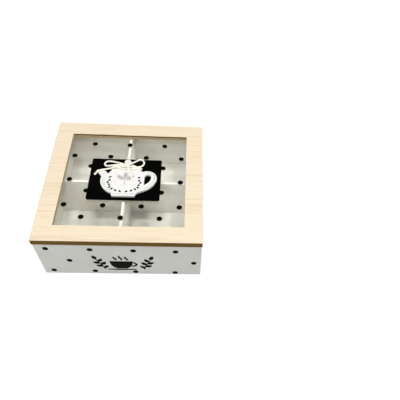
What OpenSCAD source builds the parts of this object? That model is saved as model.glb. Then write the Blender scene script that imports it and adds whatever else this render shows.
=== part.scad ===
// Tea bag organizer box: a square painted case with four compartments under a hinged wooden lid.
// The lid has a glass window that carries a dark plaque with a teapot ornament and a twine bow.
// Millimetres, +Z up, X to the right, the front faces -Y. The origin is the centre of the
// footprint, hinge knuckles included, at the level that the box stands on.

/* [Case] */
// Outer width of the case
case_w = 159; // [120:1:220]
// Outer depth of the case
case_d = 159; // [120:1:220]
// Height of the wall boards
wall_h = 53.5; // [35:0.5:90]
// Thickness of the wall boards
wall_t = 5; // [4:0.5:8]
// Thickness left of the front and back walls where the side walls lap into them
corner_cheek = 2.5; // [1.5:0.5:3]
// Width of the eased edges of the boards
arris = 0.4; // [0.2:0.1:0.8]

/* [Floor] */
// Thickness of the floor panel
floor_t = 3; // [2:0.5:5]
// Height of the wall rims below the floor panel
rim_h = 1; // [0.5:0.5:3]
// Depth of the rebate that holds the floor panel
floor_rebate = 2.5; // [1.5:0.5:3]
// Clearance round the floor panel
floor_fit = 0.2; // [0.1:0.1:0.5]

/* [Dividers] */
// Thickness of the divider boards
divider_t = 3; // [2:0.5:5]
// Distance from the tops of the walls down to the tops of the dividers
divider_drop = 0.4; // [0.2:0.1:10]
// Clearance at the dividers' ends and in their crossing
divider_fit = 0.2; // [0.1:0.1:0.5]

/* [Lid] */
// Distance that the lid stands out past the case all round
lid_overhang = 0.5; // [0:0.1:3]
// Thickness of the lid board
lid_t = 7.4; // [6:0.1:12]
// Gap between the tops of the walls and the lid
lid_gap = 0.2; // [0.1:0.1:0.6]
// Width of the lid's rails round the window
rail_w = 17.7; // [13:0.1:25]

/* [Window] */
// Thickness of the glass pane
glass_t = 2; // [1.5:0.1:3]
// Width of the step in the lid's underside that the pane lies against
glass_lap = 4; // [3:0.5:6]
// Clearance round the edge of the pane
glass_fit = 0.5; // [0.2:0.1:1]
// Thickness of the adhesive between the pane and its step
glue_t = 0.2; // [0.1:0.1:0.4]
// Width of the bead of adhesive
glue_w = 2.5; // [1.5:0.5:3]

/* [Plaque] */
// Width of the dark plaque
plaque_w = 73.4; // [68:0.2:90]
// Depth of the dark plaque
plaque_d = 55.2; // [54:0.2:70]
// Thickness of the dark plaque
plaque_t = 2.3; // [1.5:0.1:4]
// Corner radius of the dark plaque
plaque_r = 1.8; // [0.6:0.1:5]

/* [Teapot ornament] */
// Thickness of the ornament
pot_t = 2.4; // [1.8:0.1:4]
// Half the width of the pot's bowl, spout root included
bowl_rx = 25.1; // [23.5:0.1:26]
// Half the height of the pot's bowl
bowl_ry = 20.4; // [19.5:0.1:21.5]
// Width of the foot at its base
foot_w = 23.8; // [18:0.2:25]
// Height of the foot below the bowl
foot_h = 4.4; // [3:0.1:6]
// Radius of the upper bend of the handle
handle_r = 10; // [9:0.1:10.5]
// Width of the flat finger hole
hole_w = 6.9; // [4:0.1:8]
// Diameter of the knob on the pot's lid
knob_d = 7.2; // [5:0.1:9]
// Number of small slots in the garland
slot_count = 16; // [8:2:16]
// Length of a slot
slot_l = 2.8; // [1.2:0.1:3]
// Width of a slot
slot_w = 1.6; // [0.6:0.1:1.7]
// Length of a leaf engraved on the bowl
leaf_l = 10; // [7:0.5:11]
// Width of a leaf engraved on the bowl
leaf_w = 4.4; // [3:0.2:5]
// Depth of the engraved leaves
leaf_cut = 0.6; // [0.3:0.1:1.2]

/* [Hinges] */
// Distance from the middle of a hinge to the nearer side of the lid
hinge_inset = 30; // [16:1:45]
// Length of a hinge
hinge_l = 22; // [18:1:28]
// Width of a hinge leaf inside the joint
leaf_reach = 4.4; // [3.6:0.1:4.6]
// Thickness of a hinge leaf
plate_t = 0.8; // [0.6:0.1:1]
// Diameter of the knuckles
barrel_d = 2.8; // [2.6:0.1:3.4]
// Distance between the lid's back edge and the knuckles
barrel_gap = 0.15; // [0.1:0.05:0.4]
// Number of knuckles in a hinge
knuckles = 5; // [3:2:7]
// Gap between neighbouring knuckles
knuckle_gap = 0.12; // [0.08:0.02:0.3]
// Diameter of the hinge pin
pin_d = 1.2; // [1:0.1:1.4]
// Running clearance round the hinge pin, on the radius
pin_fit = 0.05; // [0.03:0.01:0.08]

/* [Screws] */
// Distance between the two screws of a leaf
screw_pitch = 13; // [9:0.5:14]
// Diameter of the screws
screw_d = 1.3; // [1:0.1:1.5]
// Diameter of the screw heads
head_d = 2.5; // [2.1:0.1:2.9]
// Length of the screws in the case
case_screw_l = 8; // [5:0.5:12]
// Length of the screws in the lid
lid_screw_l = 5; // [3:0.5:5.5]
// Clearance round the screws
screw_fit = 0.03; // [0.02:0.01:0.08]

/* [Twine] */
// Diameter of the twine
twine_d = 1.6; // [1.4:0.1:1.6]
// Diameter of the knot that ends the long tail
end_knot_d = 2.6; // [2:0.1:3]

/* [Hidden] */

white_paint = "#f2f0ea";
natural_wood = "#f4dfba";
clear_glass = [0.85, 0.9, 0.88, 0.35];
clear_glue = [0.9, 0.9, 0.85, 0.6];
black_board = "#141312";
brass = "#b8944f";
cream_twine = "#e9e2c4";

$fn = 48;
eps = 0.01;

// Case
case_x = case_w / 2;
case_y = case_d / 2;
inner_x = case_x - wall_t;
inner_y = case_y - wall_t;
lap_x = case_x - corner_cheek;
lap_y = case_y - corner_cheek;
floor_top = rim_h + floor_t;
floor_w = 2 * (inner_x + floor_rebate - floor_fit);
floor_d = 2 * (inner_y + floor_rebate - floor_fit);
divider_top = wall_h - divider_drop;
divider_mid = (floor_top + divider_top) / 2;

// Lid
lid_w = case_w + 2 * lid_overhang;
lid_d = case_d + 2 * lid_overhang;
lid_z = wall_h + lid_gap;
window_w = lid_w - 2 * rail_w;
window_d = lid_d - 2 * rail_w;
step_w = window_w + 2 * glass_lap;
step_d = window_d + 2 * glass_lap;
step_h = glass_t + glue_t;
pane_w = step_w - 2 * glass_fit;
pane_d = step_d - 2 * glass_fit;
glass_top = lid_z + glass_t;
plaque_top = glass_top + plaque_t;
pot_top = plaque_top + pot_t;

// Hinges: the leaves lie flush in the case's top edge and in the lid's underside
barrel_r = barrel_d / 2;
axis_y = lid_d / 2 + barrel_gap + barrel_r;
axis_z = wall_h + lid_gap / 2;
hinge_x = lid_w / 2 - hinge_inset;
leaf_front = lid_d / 2 - leaf_reach;
leaf_back = lid_d / 2;
recess_fit = 0.1;
screw_y = leaf_front + leaf_reach * 0.45;
screw_tip = 1.5;
head_h = plate_t * 0.8;
knuckle_pitch = (hinge_l + knuckle_gap) / knuckles;

// The knuckles stand out behind the lid, so the model moves forward by half their reach
footprint_shift = -(axis_y + barrel_r - lid_d / 2) / 2;

// Middle of the plaque from the middle of the lid
plaque_c = [-0.5, 1];

// Teapot outline, in the lid's plane with its origin at the middle of the lid
bowl_y = -3;
bowl_foot_y = -19.6;
foot_x = -0.4;
foot_top_x = 13;
foot_r = 1.6;
limb_c = [12.1, 2.3];
limb_r = 20.2;
bend_c = [22.3, 0.2];
hole_left = 19.6;
hole_c = [hole_left + hole_w / 2, 1.9];
hole_low = -9;
hole_drop = hole_c[1] - hole_low;
hole_inset = (hole_drop * hole_drop - hole_w * hole_w) / (2 * hole_w);
knob_c = [0.7, 22.4];
dome_c = [0.3, 6];
dome_rx = 16.2;
dome_ry = 14;
right_shoulder = [17, 9.6];
left_shoulder = [-15.4, 9.6];
right_rim = [[15.2, 8.6], [15.6, 12]];
left_rim = [[-15.4, 11.4], [-15.2, 8.6]];
spout_root = [[-23, 0], [-18.2, 5.6]];
spout_outline = [
    [-19.8, 7.2], [-20.9, 9.2], [-26.1, 11.2], [-28.8, 10.6], [-30.3, 8.4], [-26.6, 4.6], [-24.6, 1.8]
];
spout_tip_c = [-28.9, 9.2];
spout_tip_r = 1.5;
neck_h = 4;
neck_y = 20.2;
garland_x = -0.6;
// The garland's right half from its middle up: each slot's place, as shares of the bowl's half
// width and half height, and the direction that it points in
garland = [
    [0.13, -0.745, 48], [0.315, -0.685, 48], [0.47, -0.595, -42], [0.57, -0.49, -35],
    [0.594, -0.33, 65], [0.66, -0.175, 66], [0.602, -0.025, -50], [0.592, 0.18, -33]
];
sprig_c = [0, -3.6];
sprig_turns = [-52, 0, 52];
stem_l = 6;
stem_w = 0.8;

// Routes of the twine in X and Y from the middle of the lid, and in Z from the pot's face
knot_c = [0.6, 15.2, 1.9];
knot_l = 5.6;
knot_r = 1.9;
left_loop_route = [
    [-2.1, 16.5, 2.3], [-5.2, 18.4, 1.6], [-9, 20.5, 0.5], [-13, 22.4, -0.6], [-16.6, 23.7, -1.3],
    [-19.6, 24, -1.5], [-22, 22.9, -1.5], [-23.2, 20.5, -1.2], [-22.7, 17.7, -0.5],
    [-20.7, 15.6, 0.4], [-17.7, 14.6, 1.6], [-13.5, 14.4, 2.8], [-8, 14.9, 3.4], [-2.1, 15, 3.1]
];
right_loop_route = [
    [3.3, 16.4, 2.6], [5.8, 18.8, 2.1], [8.5, 22, 0.7], [10.8, 25.3, -0.7], [13.3, 27.4, -1.5],
    [15.9, 26.7, -1.5], [17.5, 23.8, -1.2], [17.7, 20.3, -0.5], [16.5, 17.2, 0.2], [13.9, 15, 0.8],
    [10.4, 14.3, 0.9], [6.4, 14.6, 1.2], [3.3, 14.7, 1.3]
];
long_tail_route = [
    [-2.1, 14.3, 1.5], [-4.5, 14, 1.7], [-7.5, 13.5, 2.4], [-10.3, 12.9, 2.6], [-13.2, 12.3, 1.9],
    [-16.2, 11.6, 1.1], [-19.6, 10.8, 0.85], [-23.2, 9.9, 0.85], [-26.6, 8.7, 0.85],
    [-29.3, 6.8, 0.8], [-30.5, 5.6, 0.3], [-31.4, 4.7, -0.5]
];
short_tail_route = [
    [1.8, 13.8, 3.1], [2.1, 12.2, 2.9], [2.8, 10.2, 2], [3.7, 8.1, 1.1], [4.7, 5.6, 0.85],
    [5.9, 2.4, 0.85], [7, -1, 0.85], [7.8, -4.6, 0.85]
];
neck_wrap_route = [
    [-14.1, 16, -1.6], [-14, 15.9, -0.4], [-13.5, 15.6, 0.5], [-12.2, 14.8, 0.88],
    [-10.2, 13.7, 0.88], [-7.6, 12.7, 0.88], [-4, 12.1, 0.88], [0, 12, 0.88], [5, 12, 0.88],
    [9.4, 12.2, 0.88], [12.4, 12.5, 0.88], [14, 13, 0.85], [15.1, 13.4, 0.5],
    [15.5, 13.5, -0.4], [15.5, 13.4, -1.6]
];
twine_sides = 8;

// Puts a shape of the lid-centred frame on the footprint's centre
module placed() translate([0, footprint_shift, 0]) children();

// Points of an arc of an ellipse, from angle a to angle b in n steps
function arc(centre, rx, ry, a, b, n = 12) = [
    for (i = [0 : n]) let (t = a + (b - a) * i / n) centre + [rx * cos(t), ry * sin(t)]
];

// A rectangle with cut corners, centred on the origin
module eased_rectangle(w, d, e)
    polygon([
        [e - w / 2, -d / 2], [w / 2 - e, -d / 2], [w / 2, e - d / 2], [w / 2, d / 2 - e],
        [w / 2 - e, d / 2], [e - w / 2, d / 2], [-w / 2, d / 2 - e], [-w / 2, e - d / 2]
    ]);

// A slab that stands on the origin, with all its edges eased
module eased_slab(w, d, h, e)
    intersection() {
        linear_extrude(h) eased_rectangle(w, d, e);
        translate([-w / 2, 0, h / 2]) rotate([90, 0, 90]) linear_extrude(w) eased_rectangle(d, h, e);
        translate([0, d / 2, h / 2]) rotate([90, 0, 0]) linear_extrude(d) eased_rectangle(w, h, e);
    }

// Cross-section of a wall: x is the distance in from its outer face, y is the height
module wall_section()
    polygon([
        [arris, 0], [0, arris], [0, wall_h - arris], [arris, wall_h],
        [wall_t - arris, wall_h], [wall_t, wall_h - arris], [wall_t, floor_top],
        [wall_t - floor_rebate, floor_top], [wall_t - floor_rebate, 0]
    ]);

// A wall across the box at the front, lapped at both ends for the side walls
module cross_wall()
    difference() {
        translate([-case_x, -case_y, 0])
            rotate([90, 0, 90]) linear_extrude(case_w) wall_section();
        for (side = [-1, 1]) {
            translate([side * (inner_x + case_x + eps) / 2, -inner_y - wall_t / 2 + corner_cheek, wall_h / 2])
                cube([wall_t + eps, wall_t, wall_h + 2], center = true);
            translate([side * case_x, -case_y, wall_h / 2])
                rotate([0, 0, 45]) cube([arris * sqrt(2), arris * sqrt(2), wall_h + 2], center = true);
        }
    }

module front_wall() color(white_paint) cross_wall();

module back_wall()
    color(white_paint)
    difference() {
        mirror([0, 1, 0]) cross_wall();
        for (side = [-1, 1]) {
            hinge_recess(side, wall_h - plate_t, wall_h + 1);
            screw_holes(side, wall_h - case_screw_l - screw_fit, wall_h);
        }
    }

// A side wall, which runs between the cheeks of the front and back walls
module side_wall(side)
    color(white_paint)
    mirror([side < 0 ? 0 : 1, 0, 0])
        translate([-case_x, lap_y, 0])
            rotate([90, 0, 0]) linear_extrude(2 * lap_y) wall_section();

module floor_panel()
    color(white_paint)
    translate([-floor_w / 2, -floor_d / 2, rim_h]) cube([floor_w, floor_d, floor_t]);

// A divider along X whose slot is open upwards or downwards
module divider(length, slot_up)
    color(white_paint)
    difference() {
        translate([-length / 2, 0, 0]) rotate([90, 0, 90]) linear_extrude(length)
            polygon([
                [-divider_t / 2, floor_top], [divider_t / 2, floor_top],
                [divider_t / 2, divider_top - arris], [divider_t / 2 - arris, divider_top],
                [arris - divider_t / 2, divider_top], [-divider_t / 2, divider_top - arris]
            ]);
        translate([0, 0, slot_up ? divider_top : floor_top])
            cube([
                divider_t + divider_fit, divider_t + 2,
                divider_top - floor_top + divider_fit
            ], center = true);
    }

module front_to_back_divider() rotate([0, 0, 90]) divider(2 * (inner_y - divider_fit), true);
module side_to_side_divider() divider(2 * (inner_x - divider_fit), false);

// The space for a hinge leaf, between two heights and open to the back
module hinge_recess(side, low, high)
    translate([side * hinge_x - hinge_l / 2 - recess_fit, leaf_front - recess_fit, low])
        cube([hinge_l + 2 * recess_fit, leaf_reach + 2, high - low]);

module screw_holes(side, low, high)
    for (k = [-0.5, 0.5])
        translate([side * hinge_x + k * screw_pitch, screw_y, low])
            cylinder(d = screw_d + 2 * screw_fit, h = high - low);

// Knuckles number first, first + 2 and so on, with the tongues that join them to the leaf
module knuckle_set(first)
    for (k = [first : 2 : knuckles - 1])
        translate([k * knuckle_pitch - hinge_l / 2, 0, 0]) {
            rotate([0, 90, 0]) cylinder(r = barrel_r, h = knuckle_pitch - knuckle_gap);
            translate([0, leaf_back - axis_y - eps, lid_gap / 2])
                cube([knuckle_pitch - knuckle_gap, axis_y - leaf_back, plate_t]);
        }

// A leaf of the lid's side, about its axis: its flat face is half the lid's gap from the axis
module hinge_leaf(first)
    color(brass)
    difference() {
        union() {
            translate([-hinge_l / 2, leaf_front - axis_y, lid_gap / 2])
                cube([hinge_l, leaf_reach, plate_t]);
            knuckle_set(first);
        }
        rotate([0, 90, 0]) cylinder(d = pin_d + 2 * pin_fit, h = hinge_l + 2, center = true);
        for (k = [-0.5, 0.5])
            translate([k * screw_pitch, screw_y - axis_y, lid_gap / 2]) {
                translate([0, 0, -1]) cylinder(d = screw_d + 2 * screw_fit, h = plate_t + 2);
                translate([0, 0, -eps])
                    cylinder(
                        d1 = head_d + 2 * (screw_fit + eps), d2 = screw_d + 2 * screw_fit,
                        h = head_h + screw_fit + eps
                    );
            }
    }

module on_axis(side) translate([side * hinge_x, axis_y, axis_z]) children();
module lid_leaf(side) on_axis(side) hinge_leaf(1);
module case_leaf(side) on_axis(side) mirror([0, 0, 1]) hinge_leaf(0);

module hinge_pin(side)
    color(brass)
    on_axis(side) rotate([0, 90, 0]) cylinder(d = pin_d, h = hinge_l, center = true);

// A countersunk screw that points up, with its head's face at the origin
module screw(length)
    difference() {
        union() {
            cylinder(d1 = head_d, d2 = screw_d, h = head_h);
            cylinder(d = screw_d, h = length - screw_tip);
            translate([0, 0, length - screw_tip]) cylinder(d1 = screw_d, d2 = 0.3, h = screw_tip);
        }
        translate([0, 0, 0.1]) cube([head_d * 0.7, 0.3, 0.4], center = true);
    }

module screws(length)
    for (side = [-1, 1], k = [-0.5, 0.5])
        translate([side * hinge_x + k * screw_pitch, screw_y, 0]) screw(length);

module case_hinge_screws()
    color(brass) translate([0, 0, wall_h]) mirror([0, 0, 1]) screws(case_screw_l);
module lid_hinge_screws() color(brass) translate([0, 0, lid_z]) screws(lid_screw_l);

module lid_frame()
    color(natural_wood)
    difference() {
        translate([0, 0, lid_z]) eased_slab(lid_w, lid_d, lid_t, arris);
        translate([0, 0, lid_z + lid_t / 2]) cube([window_w, window_d, lid_t + 2], center = true);
        translate([0, 0, lid_z + step_h / 2 - 1]) cube([step_w, step_d, step_h + 2], center = true);
        for (side = [-1, 1]) {
            hinge_recess(side, lid_z - 1, lid_z + plate_t);
            screw_holes(side, lid_z, lid_z + lid_screw_l + screw_fit);
        }
    }

module glass_pane()
    color(clear_glass)
    translate([0, 0, lid_z]) eased_slab(pane_w, pane_d, glass_t, 0.2);

// The bead lies between the rim of the pane and the step in the lid
module glass_adhesive()
    color(clear_glue)
    translate([0, 0, glass_top]) linear_extrude(glue_t)
        difference() {
            square([pane_w - 1, pane_d - 1], center = true);
            square([pane_w - 1 - 2 * glue_w, pane_d - 1 - 2 * glue_w], center = true);
        }

module rounded_rectangle(w, d, r) {
    square([w - 2 * r, d], center = true);
    square([w, d - 2 * r], center = true);
    for (x = [-1, 1], y = [-1, 1]) translate([x * (w / 2 - r), y * (d / 2 - r)]) circle(r);
}

module plaque()
    color(black_board)
    translate([plaque_c[0], plaque_c[1], glass_top]) linear_extrude(plaque_t)
        rounded_rectangle(plaque_w, plaque_d, plaque_r);

// The pot's bowl with the swell of the spout's root on its left and the lower limb of the handle
// on its right
module pot_bowl()
    polygon(concat(
        [[-foot_top_x, bowl_foot_y], [foot_top_x, bowl_foot_y]],
        arc(limb_c, limb_r, limb_r, -71, -5),
        [bend_c, right_shoulder, left_shoulder, spout_root[1]],
        arc([0, bowl_y], bowl_rx, bowl_ry, 163, 234)
    ));

module pot_foot() {
    half = foot_w / 2;
    low = bowl_foot_y - foot_h;
    polygon([
        [foot_x - half + foot_r, low], [foot_x + half - foot_r, low],
        [foot_x + half, low + foot_r], [foot_top_x, bowl_foot_y], [foot_top_x, bowl_foot_y + 1],
        [-foot_top_x, bowl_foot_y + 1], [-foot_top_x, bowl_foot_y], [foot_x - half, low + foot_r]
    ]);
    for (x = [-1, 1]) translate([foot_x + x * (half - foot_r), low + foot_r]) circle(foot_r);
}

// The spout leans out to the left, with a blunt, rounded tip
module pot_spout() {
    polygon(concat(spout_root, spout_outline));
    translate(spout_tip_c) circle(spout_tip_r);
}

module pot_handle() translate(bend_c) circle(handle_r);

// Its right side bends evenly down to a point at the lower left
module finger_hole() {
    bend_r = hole_w + hole_inset;
    polygon(concat(
        arc([hole_left - hole_inset, hole_c[1]], bend_r, bend_r, -atan2(hole_drop, hole_inset), 0),
        arc(hole_c, hole_w / 2, hole_w / 2, 15, 180, 11)
    ));
}

module pot_dome() {
    polygon(concat(right_rim, arc(dome_c, dome_rx, dome_ry, 28, 152), left_rim));
    translate(knob_c) circle(d = knob_d);
    translate([knob_c[0], neck_y]) square([knob_d * 0.7, neck_h], center = true);
}

// A round-ended slot across the origin
module slot() {
    square([slot_l - slot_w, slot_w], center = true);
    for (x = [-1, 1]) translate([x * (slot_l - slot_w) / 2, 0]) circle(d = slot_w);
}

// The two halves of the garland mirror each other
module slot_garland()
    for (side = [0, 1], i = [0 : slot_count / 2 - 1])
        translate([garland_x, bowl_y]) mirror([side, 0])
            translate([garland[i][0] * bowl_rx, garland[i][1] * bowl_ry])
                rotate(garland[i][2]) slot();

// A pointed leaf along +Y from the origin, where two circles cross
module leaf() {
    r = (leaf_l * leaf_l / 4 + leaf_w * leaf_w / 4) / leaf_w;
    intersection_for (x = [-1, 1])
        translate([x * (r - leaf_w / 2), leaf_l / 2]) circle(r, $fn = 96);
}

module sprig() {
    for (turn = sprig_turns) rotate(turn) translate([0, 1.2]) leaf();
    translate([-stem_w / 2, -stem_l]) square([stem_w, stem_l + 0.6]);
}

module teapot_ornament()
    color(white_paint)
    translate([0, 0, plaque_top])
    difference() {
        linear_extrude(pot_t)
            difference() {
                union() {
                    pot_bowl();
                    pot_foot();
                    pot_spout();
                    pot_handle();
                    pot_dome();
                }
                finger_hole();
                slot_garland();
            }
        translate([sprig_c[0], sprig_c[1], pot_t - leaf_cut]) linear_extrude(leaf_cut + 1) sprig();
    }

// The direction in which a route runs at point i
function heading(route, i) =
    let (a = route[max(i - 1, 0)], b = route[min(i + 1, len(route) - 1)]) (b - a) / norm(b - a);

// A vector square to v, carried along from the one before it
function square_to(v, before) = let (s = before - v * (before * v)) s / norm(s);

function sides_along(route, i = 0, before = [0, 0, 1]) =
    i == len(route) ? [] :
    let (s = square_to(heading(route, i), before)) concat([s], sides_along(route, i + 1, s));

// A tube of the twine's diameter along a route
module twine(route) {
    n = twine_sides;
    last = len(route) - 1;
    up = sides_along(route);
    rings = [
        for (i = [0 : last]) let (u = up[i], w = cross(heading(route, i), u))
            for (k = [0 : n - 1]) route[i] + twine_d / 2 * (u * cos(360 * k / n) + w * sin(360 * k / n))
    ];
    skin = [
        for (i = [0 : last - 1], k = [0 : n - 1])
            [i * n + k, i * n + (k + 1) % n, (i + 1) * n + (k + 1) % n, (i + 1) * n + k]
    ];
    ends = [[for (k = [n - 1 : -1 : 0]) k], [for (k = [0 : n - 1]) last * n + k]];
    color(cream_twine) translate([0, 0, pot_top]) polyhedron(rings, concat(skin, ends));
}

module neck_wrap() twine(neck_wrap_route);
module left_bow_loop() twine(left_loop_route);
module right_bow_loop() twine(right_loop_route);
module long_tail() twine(long_tail_route);
module short_tail() twine(short_tail_route);

// The knot is a short barrel along X
module bow_knot()
    color(cream_twine)
    translate([knot_c[0], knot_c[1], pot_top + knot_c[2]]) rotate([0, 90, 0])
        rotate_extrude()
            polygon(concat(
                [[0, -knot_l / 2], [knot_r * 0.6, -knot_l / 2], [knot_r * 0.9, -knot_l / 3]],
                [[knot_r, 0], [knot_r * 0.9, knot_l / 3], [knot_r * 0.6, knot_l / 2], [0, knot_l / 2]]
            ));

module tail_end_knot() {
    tip = long_tail_route[len(long_tail_route) - 1];
    way = heading(long_tail_route, len(long_tail_route) - 1);
    color(cream_twine)
    translate([0, 0, pot_top]) translate(tip + way * end_knot_d * 0.4) sphere(d = end_knot_d);
}

placed() front_wall();
placed() back_wall();
placed() side_wall(-1);  // left_wall
placed() side_wall(1);  // right_wall
placed() floor_panel();
placed() front_to_back_divider();
placed() side_to_side_divider();
placed() case_leaf(-1);  // left_hinge_case_leaf
placed() case_leaf(1);  // right_hinge_case_leaf
placed() hinge_pin(-1);  // left_hinge_pin
placed() hinge_pin(1);  // right_hinge_pin
placed() case_hinge_screws();
placed() lid_frame();
placed() glass_pane();
placed() glass_adhesive();
placed() plaque();
placed() teapot_ornament();
placed() lid_leaf(-1);  // left_hinge_lid_leaf
placed() lid_leaf(1);  // right_hinge_lid_leaf
placed() lid_hinge_screws();
placed() neck_wrap();
placed() bow_knot();
placed() left_bow_loop();
placed() right_bow_loop();
placed() long_tail();
placed() short_tail();
placed() tail_end_knot();
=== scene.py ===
"""Finishes and fine pieces of a tea box with four compartments and a hinged glass lid."""

import logging
import math
import random
from collections.abc import Callable, Iterable, Sequence
from dataclasses import dataclass, field
from enum import Enum, IntEnum

import bmesh
import bpy
from mathutils import Matrix, Vector


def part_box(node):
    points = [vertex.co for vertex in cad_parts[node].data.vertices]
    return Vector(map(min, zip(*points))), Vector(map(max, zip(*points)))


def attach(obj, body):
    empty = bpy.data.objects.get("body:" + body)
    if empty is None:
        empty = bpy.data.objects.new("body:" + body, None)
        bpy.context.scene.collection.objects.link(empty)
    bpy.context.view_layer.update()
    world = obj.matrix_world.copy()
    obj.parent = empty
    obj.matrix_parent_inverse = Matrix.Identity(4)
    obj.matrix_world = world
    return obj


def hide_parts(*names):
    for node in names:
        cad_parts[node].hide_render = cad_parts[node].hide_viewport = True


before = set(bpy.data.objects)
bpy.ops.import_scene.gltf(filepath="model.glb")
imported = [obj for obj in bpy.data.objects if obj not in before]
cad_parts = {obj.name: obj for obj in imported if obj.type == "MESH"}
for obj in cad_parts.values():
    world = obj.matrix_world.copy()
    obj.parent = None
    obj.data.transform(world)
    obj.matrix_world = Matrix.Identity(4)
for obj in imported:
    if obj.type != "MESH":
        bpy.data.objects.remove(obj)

LOG = logging.getLogger("tea_box")
MM = 0.001  # sizes are in millimetres if nothing else is said, and meshes in metres
TOUCHING = 0.002  # corners of a mesh that lie closer together than this are one
FLAT = math.radians(0.5)  # faces that turn by less than this are one

Point = tuple[float, float, float]
Settings = dict[str, object]
Source = bpy.types.Node | bpy.types.NodeSocket


class Body(Enum):
    """The two bodies of the box that move against each other."""

    CASE = "case"
    LID = "lid"


class Slot(Enum):
    """The record's material slots that new pieces take their finish from."""

    BLACK = "black_board"
    ORNAMENT = "ornament_white"
    BRASS = "hinge_brass"
    TWINE = "twine"


class Side(Enum):
    """The case's outer faces, by the turn in degrees that brings the front one there."""

    FRONT = 0
    RIGHT = 90
    BACK = 180
    LEFT = -90


# ---------------------------------------------------------------- small tools


def linear(colour: str) -> tuple[float, float, float, float]:
    """Turn an sRGB hex colour into the linear one that a shader takes.

    Args:
        colour: six hex digits after a hash.

    Returns:
        Red, green, blue and an alpha of 1.
    """
    parts = [int(colour[i : i + 2], 16) / 255 for i in (1, 3, 5)]
    lit = [c / 12.92 if c <= 0.04045 else ((c + 0.055) / 1.055) ** 2.4 for c in parts]
    return (lit[0], lit[1], lit[2], 1.0)


@dataclass(frozen=True)
class Extent:
    """Where a CAD node lies, in millimetres."""

    low: Point
    high: Point

    @classmethod
    def of(cls, node: str) -> "Extent":
        """Measure a node at rest, to a thousandth of a millimetre."""
        return cls(*(tuple(round(c / MM, 3) for c in corner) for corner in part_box(node)))

    def middle(self, axis: int) -> float:
        """Give its middle along an axis, from 0 for x to 2 for z."""
        return (self.low[axis] + self.high[axis]) / 2

    def half(self, axis: int) -> float:
        """Give half its size along an axis."""
        return (self.high[axis] - self.low[axis]) / 2


FRONT_WALL = Extent.of("front_wall")
LID_BOARD = Extent.of("lid_frame")
PANE = Extent.of("glass_pane")
PLAQUE = Extent.of("plaque")
ORNAMENT = Extent.of("teapot_ornament")
MIDDLE_Y = LID_BOARD.middle(1)


# settings of nodes that come up again and again
MIX: Settings = {"data_type": "RGBA"}
TINT: Settings = {"data_type": "RGBA", "blend_type": "MULTIPLY"}
LARGER: Settings = {"operation": "MAXIMUM"}
SMALLER: Settings = {"operation": "MINIMUM"}
BOTH: Settings = {"operation": "MULTIPLY"}


def within(low: float, high: float, unit: float = MM) -> Settings:
    """Give the settings of a range from 0 at low to 1 at high, both counted in a unit."""
    return {"in:From Min": low * unit, "in:From Max": high * unit}


def spread(low: float, high: float) -> Settings:
    """Give the settings of a range that turns 0 to 1 into low to high."""
    return {"in:To Min": low, "in:To Max": high}


class ShaderTree:
    """The node tree of a finish or of the sky, and the steps that fill it."""

    def __init__(self, owner: bpy.types.Material | bpy.types.World) -> None:
        """Empty the tree of a material or a world.

        Args:
            owner: the material or the world.
        """
        owner.use_nodes = True
        self.owner = owner
        self._tree = owner.node_tree
        self._tree.nodes.clear()

    def add(
        self,
        kind: str,
        settings: Settings | None = None,
        links: dict[str | int, Source] | None = None,
    ) -> bpy.types.Node:
        """Add one node.

        Args:
            kind: the node's Blender type, without its first word ShaderNode.
            settings: attributes by name, values of inputs as "in:NAME" or "in:NUMBER", and
                a colour ramp's "stops", each with its place and its sRGB hex colour.
            links: what feeds each named or numbered input.

        Returns:
            The new node.
        """
        node = self._tree.nodes.new(f"ShaderNode{kind}")
        for key, value in (settings or {}).items():
            if key == "stops":
                for _ in value[2:]:
                    node.color_ramp.elements.new(0.5)
                for element, (place, colour) in zip(node.color_ramp.elements, value):
                    element.position, element.color = place, linear(colour)
            elif key.startswith("in:"):
                name = key[3:]
                node.inputs[int(name) if name.isdigit() else name].default_value = value
            else:
                setattr(node, key, value)
        for key, source in (links or {}).items():
            self.link(source, node.inputs[key])
        return node

    def link(self, source: Source, target: bpy.types.NodeSocket) -> None:
        """Feed an input from an output, or from the first one that a node has in use.

        Args:
            source: the output or the node.
            target: the input.
        """
        if isinstance(source, bpy.types.Node):
            source = next(output for output in source.outputs if output.enabled)
        self._tree.links.new(source, target)

    def seen(self) -> bpy.types.Node:
        """Add up the rays that show the backdrop: the eye's, mirrored and refracted ones.

        Returns:
            The share, which is 1 for such a ray and 0 for any other.
        """
        path = self.add("LightPath").outputs
        plain = self.add("Math", LARGER, {0: path["Is Camera Ray"], 1: path["Is Glossy Ray"]})
        shown = self.add("Math", LARGER, {0: plain, 1: path["Is Transmission Ray"]})
        # light that a matt surface has scattered before doesn't count, as inside the box
        fresh = {"operation": "LESS_THAN", "in:1": 0.5}
        direct = self.add("Math", fresh, {0: path["Diffuse Depth"]})
        return self.add("Math", BOTH, {0: shown, 1: direct})


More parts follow.
